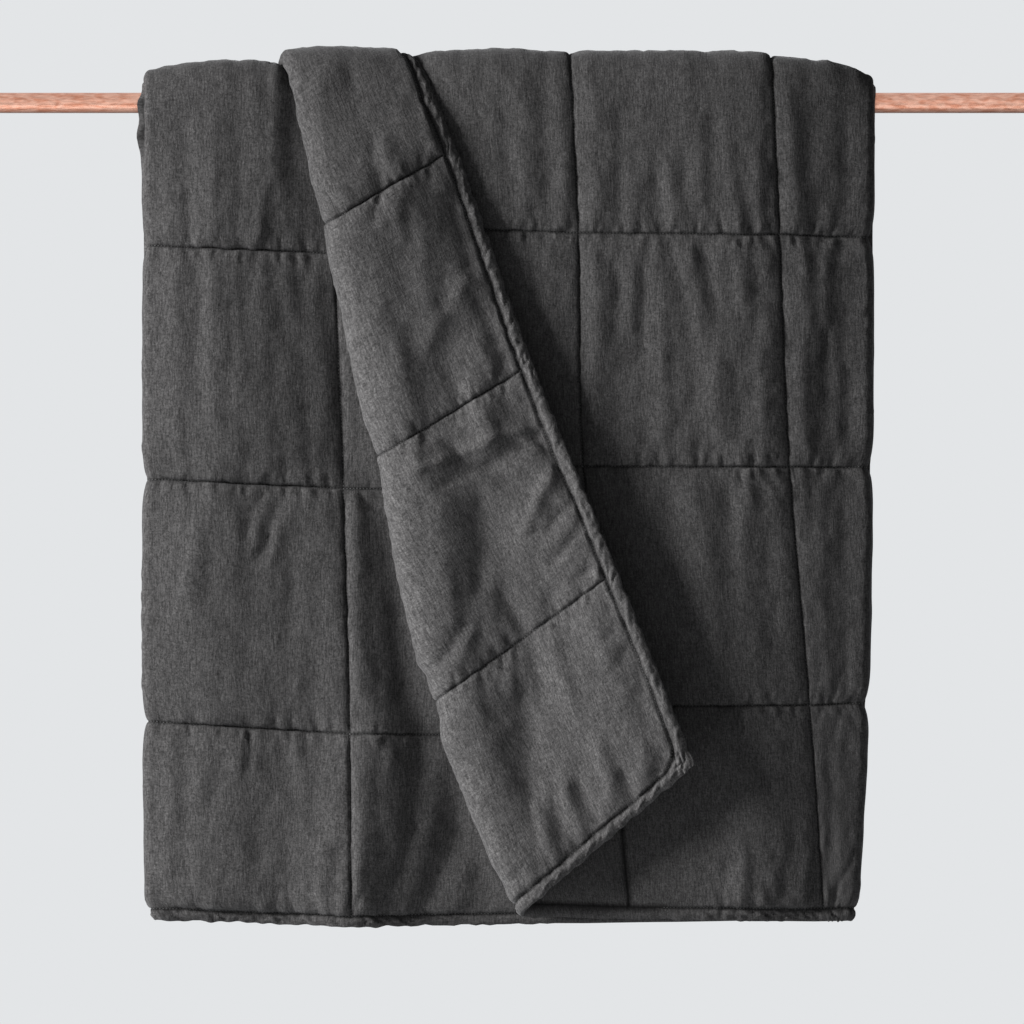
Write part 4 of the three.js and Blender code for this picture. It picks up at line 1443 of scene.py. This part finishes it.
def washed_linen(settings):
    """Stone-washed linen in plain weave, matt and a little hairy: soft streaks and long slubs run
    along the warp, where thicker yarns lie, and short streaks of the weft cross them."""
    material, tree = new_material("washed_linen_charcoal")
    cloth = add_node(tree, "ShaderNodeUVMap", {"uv_map": "cloth"}).outputs["UV"]
    yarns = {}
    for name, (across, along, wander) in YARNS.items():
        yarns[name] = stretched_noise(tree, cloth, (1000 / across, 1000 / along, 1), YARN_DETAIL, wander)
    tones = [remap(tree, yarns[name], *tone) for name, tone in YARN_TONES.items()]
    # Painted shade darkens the linen in the sewn lines' grooves, the peek's slit and the inner layer's
    # bottom, and painted light makes the flap's lower part paler
    for name, shade in (("painted_shade", PAINTED_SHADE_TONE), ("painted_flap_light", PAINTED_FLAP_LIGHT["tone"])):
        share = add_node(tree, "ShaderNodeAttribute", {"attribute_name": name}).outputs["Fac"]
        tones.append(remap(tree, share, 0, 1, 1.0, shade))
    tone = tones[0]
    for other in tones[1:]:
        tone = product(tree, tone, other)
    colour = add_node(tree, "ShaderNodeVectorMath", {"operation": "SCALE"}, {"Scale": tone})
    colour.inputs[0].default_value = linear(settings.linen_colour)[:3]
    weave = add_node(tree, "ShaderNodeMath", {"operation": "ADD"}, {0: yarns["warp"], 1: yarns["weft"]})
    add_surface(tree, {
        "Base Color": colour.outputs["Vector"],
        "Normal": bumps(tree, weave.outputs["Value"], strength=0.5, distance=0.0008),
    }, Roughness=0.92, Specular_IOR_Level=0.06, Sheen_Weight=0.15, Sheen_Roughness=0.45,
        Sheen_Tint=(0.8, 0.8, 0.82, 1))
    return material


def drawn_copper(settings):
    """Copper pipe, drawn and touched by hands: satin, with faint lines along it and a mottled bloom.
    Painted shade darkens its underside.
    """
    material, tree = new_material("drawn_copper_satin")
    here = add_node(tree, "ShaderNodeTexCoord").outputs["Object"]
    grain = stretched_noise(tree, here, COPPER_LINES, detail=2.0)
    patches = stretched_noise(tree, here, COPPER_PATCHES, detail=4.0, wander=0.4)
    base = linear(settings.copper_colour)
    dull = [channel * share for channel, share in zip(base, BLOOM)] + [1]
    colour = two_colours(tree, patches, 0.36, dull, 0.58, base)
    # Painted shade: the copper is darker towards the rod's underside
    height = add_node(tree, "ShaderNodeSeparateXYZ", links={"Vector": here}).outputs["Z"]
    under = remap(tree, height, -ROD_RADIUS * MM, PAINTED_UNDERSIDE_SHADE_TOP, PAINTED_UNDERSIDE_SHADE_TONE, 1.0)
    ragged = remap(tree, grain, 0.35, 0.65, 0.86, 1.14)
    toned = add_node(tree, "ShaderNodeVectorMath", {"operation": "SCALE"}, {
        "Vector": colour, "Scale": product(tree, under, ragged)})
    add_surface(tree, {
        "Base Color": toned.outputs["Vector"],
        "Roughness": remap(tree, grain, 0, 1, 0.18, 0.42),
        "Normal": bumps(tree, grain, strength=0.35, distance=0.0004),
    }, Metallic=1.0)
    return material


def spun_thread():
    """Spun sewing thread, matt, in the linen's colour: its turns show as light and dark spots."""
    material, tree = new_material("spun_thread_charcoal")
    here = add_node(tree, "ShaderNodeTexCoord").outputs["Object"]
    plies = add_node(tree, "ShaderNodeTexNoise", links={"Vector": here}, Scale=1100.0, Detail=2.0)
    plies = plies.outputs["Fac"]
    add_surface(tree, {
        "Base Color": two_colours(tree, plies, 0.35, linear(THREAD_DARK), 0.65, linear(THREAD_LIGHT)),
        "Normal": bumps(tree, plies, strength=0.4, distance=0.0002),
    }, Roughness=0.75, Specular_IOR_Level=0.2)
    return material


def floor_paint(pale):
    """Matt floor paint in the backdrop's own pale colour."""
    material, tree = new_material("pale_floor_paint")
    add_surface(tree, Roughness=0.9, Base_Color=pale)
    return material


# The pieces and the stage


def finish_piece(name, bm, material):
    """The bmesh as a piece of the scene, shaded smooth."""
    mesh = bpy.data.meshes.new(name)
    bm.to_mesh(mesh)
    bm.free()
    mesh.materials.append(material)
    piece = bpy.data.objects.new(name, mesh)
    bpy.context.scene.collection.objects.link(piece)
    mesh.shade_smooth()
    return piece


def points_of(mesh):
    points = np.empty(len(mesh.vertices) * 3)
    mesh.vertices.foreach_get("co", points)
    return points.reshape(-1, 3)


def move_points(mesh, points):
    mesh.vertices.foreach_set("co", points.ravel())
    mesh.update()


def add_camera(scene):
    """The camera stands far off, level with the middle of the picture."""
    lens = bpy.data.cameras.new("camera")
    lens.sensor_width = SENSOR
    lens.lens = SENSOR * CAMERA_DISTANCE / PHOTO_WIDTH
    lens.clip_end = 100.0
    camera = bpy.data.objects.new("camera", lens)
    camera.location = (0, QUILT_FRONT - CAMERA_DISTANCE, PHOTO_MIDDLE)
    camera.rotation_euler = (math.pi / 2, 0, 0)
    scene.collection.objects.link(camera)
    scene.camera = camera


def add_world(scene, pale):
    """A world that the camera and the reflections see as pale, and that lights the cloth faintly."""
    world = bpy.data.worlds.new("studio")
    scene.world = world
    world.use_nodes = True
    tree = world.node_tree
    tree.nodes.clear()
    seen = add_node(tree, "ShaderNodeBackground", Color=pale, Strength=1.0)
    felt = add_node(tree, "ShaderNodeBackground", Color=pale, Strength=WORLD_LIGHT)
    path = add_node(tree, "ShaderNodeLightPath")
    clear = add_node(tree, "ShaderNodeMath", {"operation": "MAXIMUM"}, {
        0: path.outputs["Is Camera Ray"], 1: path.outputs["Is Glossy Ray"]})
    both = add_node(tree, "ShaderNodeMixShader", links={
        0: clear.outputs["Value"], 1: felt.outputs["Background"], 2: seen.outputs["Background"]})
    add_node(tree, "ShaderNodeOutputWorld", links={"Surface": both.outputs["Shader"]})


def add_floor(pale):
    bm = bmesh.new()
    bmesh.ops.create_circle(bm, cap_ends=True, segments=64, radius=FLOOR_RADIUS)
    bmesh.ops.translate(bm, verts=bm.verts[:], vec=(0, 0, FLOOR_HEIGHT))
    floor = finish_piece("floor", bm, floor_paint(pale))


def add_lights(scene):
    """Area lights, each turned to its target. The rod's light shows in reflections only."""
    for name, (where, target, width, height, watts) in LIGHTS.items():
        light = bpy.data.lights.new(name, "AREA")
        light.shape = "RECTANGLE"
        light.size, light.size_y = width, height
        light.energy = watts
        lamp = bpy.data.objects.new(name, light)
        lamp.location = where
        lamp.rotation_euler = (Vector(target) - Vector(where)).to_track_quat("-Z", "Y").to_euler()
        scene.collection.objects.link(lamp)
        if name == "rod_light":
            lamp.visible_camera = False
            lamp.visible_diffuse = False


class QuiltSettings(bpy.types.PropertyGroup):
    pucker_depth: bpy.props.FloatProperty(
        name="Pucker depth", description="Height of the gathers off the lines sewn across",
        default=1.3, min=0, soft_max=3, subtype="FACTOR")
    column_pucker_depth: bpy.props.FloatProperty(
        name="Column pucker depth", description="Height of the gathers off the lines sewn along",
        default=0.6, min=0, soft_max=3, subtype="FACTOR")
    crease_depth: bpy.props.FloatProperty(
        name="Crease depth", description="Height of the creases placed by hand",
        default=1.2, min=0, soft_max=3, subtype="FACTOR")
    crumple_depth: bpy.props.FloatProperty(
        name="Crumple depth", description="Height of the fine creases all over",
        default=1.0, min=0, soft_max=3, subtype="FACTOR")
    hem_depth: bpy.props.FloatProperty(
        name="Hem depth", description="Height of the pinches across the hem",
        default=1.0, min=0, soft_max=3, subtype="FACTOR")
    wave_depth: bpy.props.FloatProperty(
        name="Wave depth", description="Height of the soft waves in each square",
        default=1.1, min=0, soft_max=3, subtype="FACTOR")
    linen_colour: bpy.props.StringProperty(
        name="Linen colour", description="Colour of the linen, as sRGB hex", default="464545")
    copper_colour: bpy.props.StringProperty(
        name="Copper colour", description="Colour of the rod, as sRGB hex", default="E6B29C")
    backdrop_colour: bpy.props.StringProperty(
        name="Backdrop colour", description="Colour behind the quilt, as sRGB hex", default="E3E5E7")


class QUILT_OT_cloth(bpy.types.Operator):
    """Cut the linen, sew its squares and hem, fold it in three and hang it over the rod"""

    bl_idname = "quilt.cloth"
    bl_label = "Quilt"

    def execute(self, context):
        settings = context.scene.quilt
        bm = flat_slab()
        refine(bm)
        piece = finish_piece("linen_quilt", bm, washed_linen(settings))
        flat = points_of(piece.data)
        add_shades(piece.data, flat)
        move_points(piece.data, lay_cloth(flat, settings))
        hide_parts("quilt")
        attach(piece, "root")
        return {"FINISHED"}


class QUILT_OT_thread(bpy.types.Operator):
    """Lay the stitches along the sewn lines that show"""

    bl_idname = "quilt.thread"
    bl_label = "Stitches"

    def execute(self, context):
        middles, along, across, up = stitch_places(context.scene.quilt)
        piece = finish_piece("quilting_stitches", beads(len(middles)), spun_thread())
        flat = points_of(piece.data)
        number = np.round(flat[:, 0] / BEADS_APART).astype(int)
        local = (flat - np.stack([number * BEADS_APART, 0 * number, 0 * number], axis=-1)) * MM
        points = middles[number] + local[:, :1] * along[number] + local[:, 1:2] * across[number]
        points += local[:, 2:] * up[number]
        move_points(piece.data, points)
        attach(piece, "root")
        return {"FINISHED"}


class QUILT_OT_rod(bpy.types.Operator):
    """Give the rod its satin copper"""

    bl_idname = "quilt.rod"
    bl_label = "Copper rod"

    def execute(self, context):
        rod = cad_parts["rod"]
        material = drawn_copper(context.scene.quilt)
        for slot in rod.material_slots:
            slot.material = material
        return {"FINISHED"}


class QUILT_OT_stage(bpy.types.Operator):
    """Set up the pale floor, the soft light and the camera"""

    bl_idname = "quilt.stage"
    bl_label = "Stage"

    def execute(self, context):
        scene = context.scene
        scene.view_settings.view_transform = "Standard"
        scene.view_settings.look = "None"
        pale = linear(scene.quilt.backdrop_colour)
        add_camera(scene)
        add_world(scene, pale)
        add_floor(pale)
        add_lights(scene)
        return {"FINISHED"}


class QUILT_PT_panel(bpy.types.Panel):
    """The quilt's pieces and their settings"""

    bl_idname = "QUILT_PT_panel"
    bl_label = "Quilt"
    bl_space_type = "VIEW_3D"
    bl_region_type = "UI"
    bl_category = "Quilt"

    def draw(self, context):
        for name in QuiltSettings.__annotations__:
            self.layout.prop(context.scene.quilt, name)
        for operator in OPERATORS:
            self.layout.operator(operator.bl_idname)


OPERATORS = (QUILT_OT_stage, QUILT_OT_cloth, QUILT_OT_thread, QUILT_OT_rod)
CLASSES = (QuiltSettings, *OPERATORS, QUILT_PT_panel)


def register():
    for cls in CLASSES:
        bpy.utils.register_class(cls)
    bpy.types.Scene.quilt = bpy.props.PointerProperty(type=QuiltSettings)


def unregister():
    del bpy.types.Scene.quilt
    for cls in reversed(CLASSES):
        bpy.utils.unregister_class(cls)


def main():
    register()
    bpy.ops.quilt.stage()
    bpy.ops.quilt.cloth()
    bpy.ops.quilt.thread()
    bpy.ops.quilt.rod()


if __name__ == "__main__":
    main()
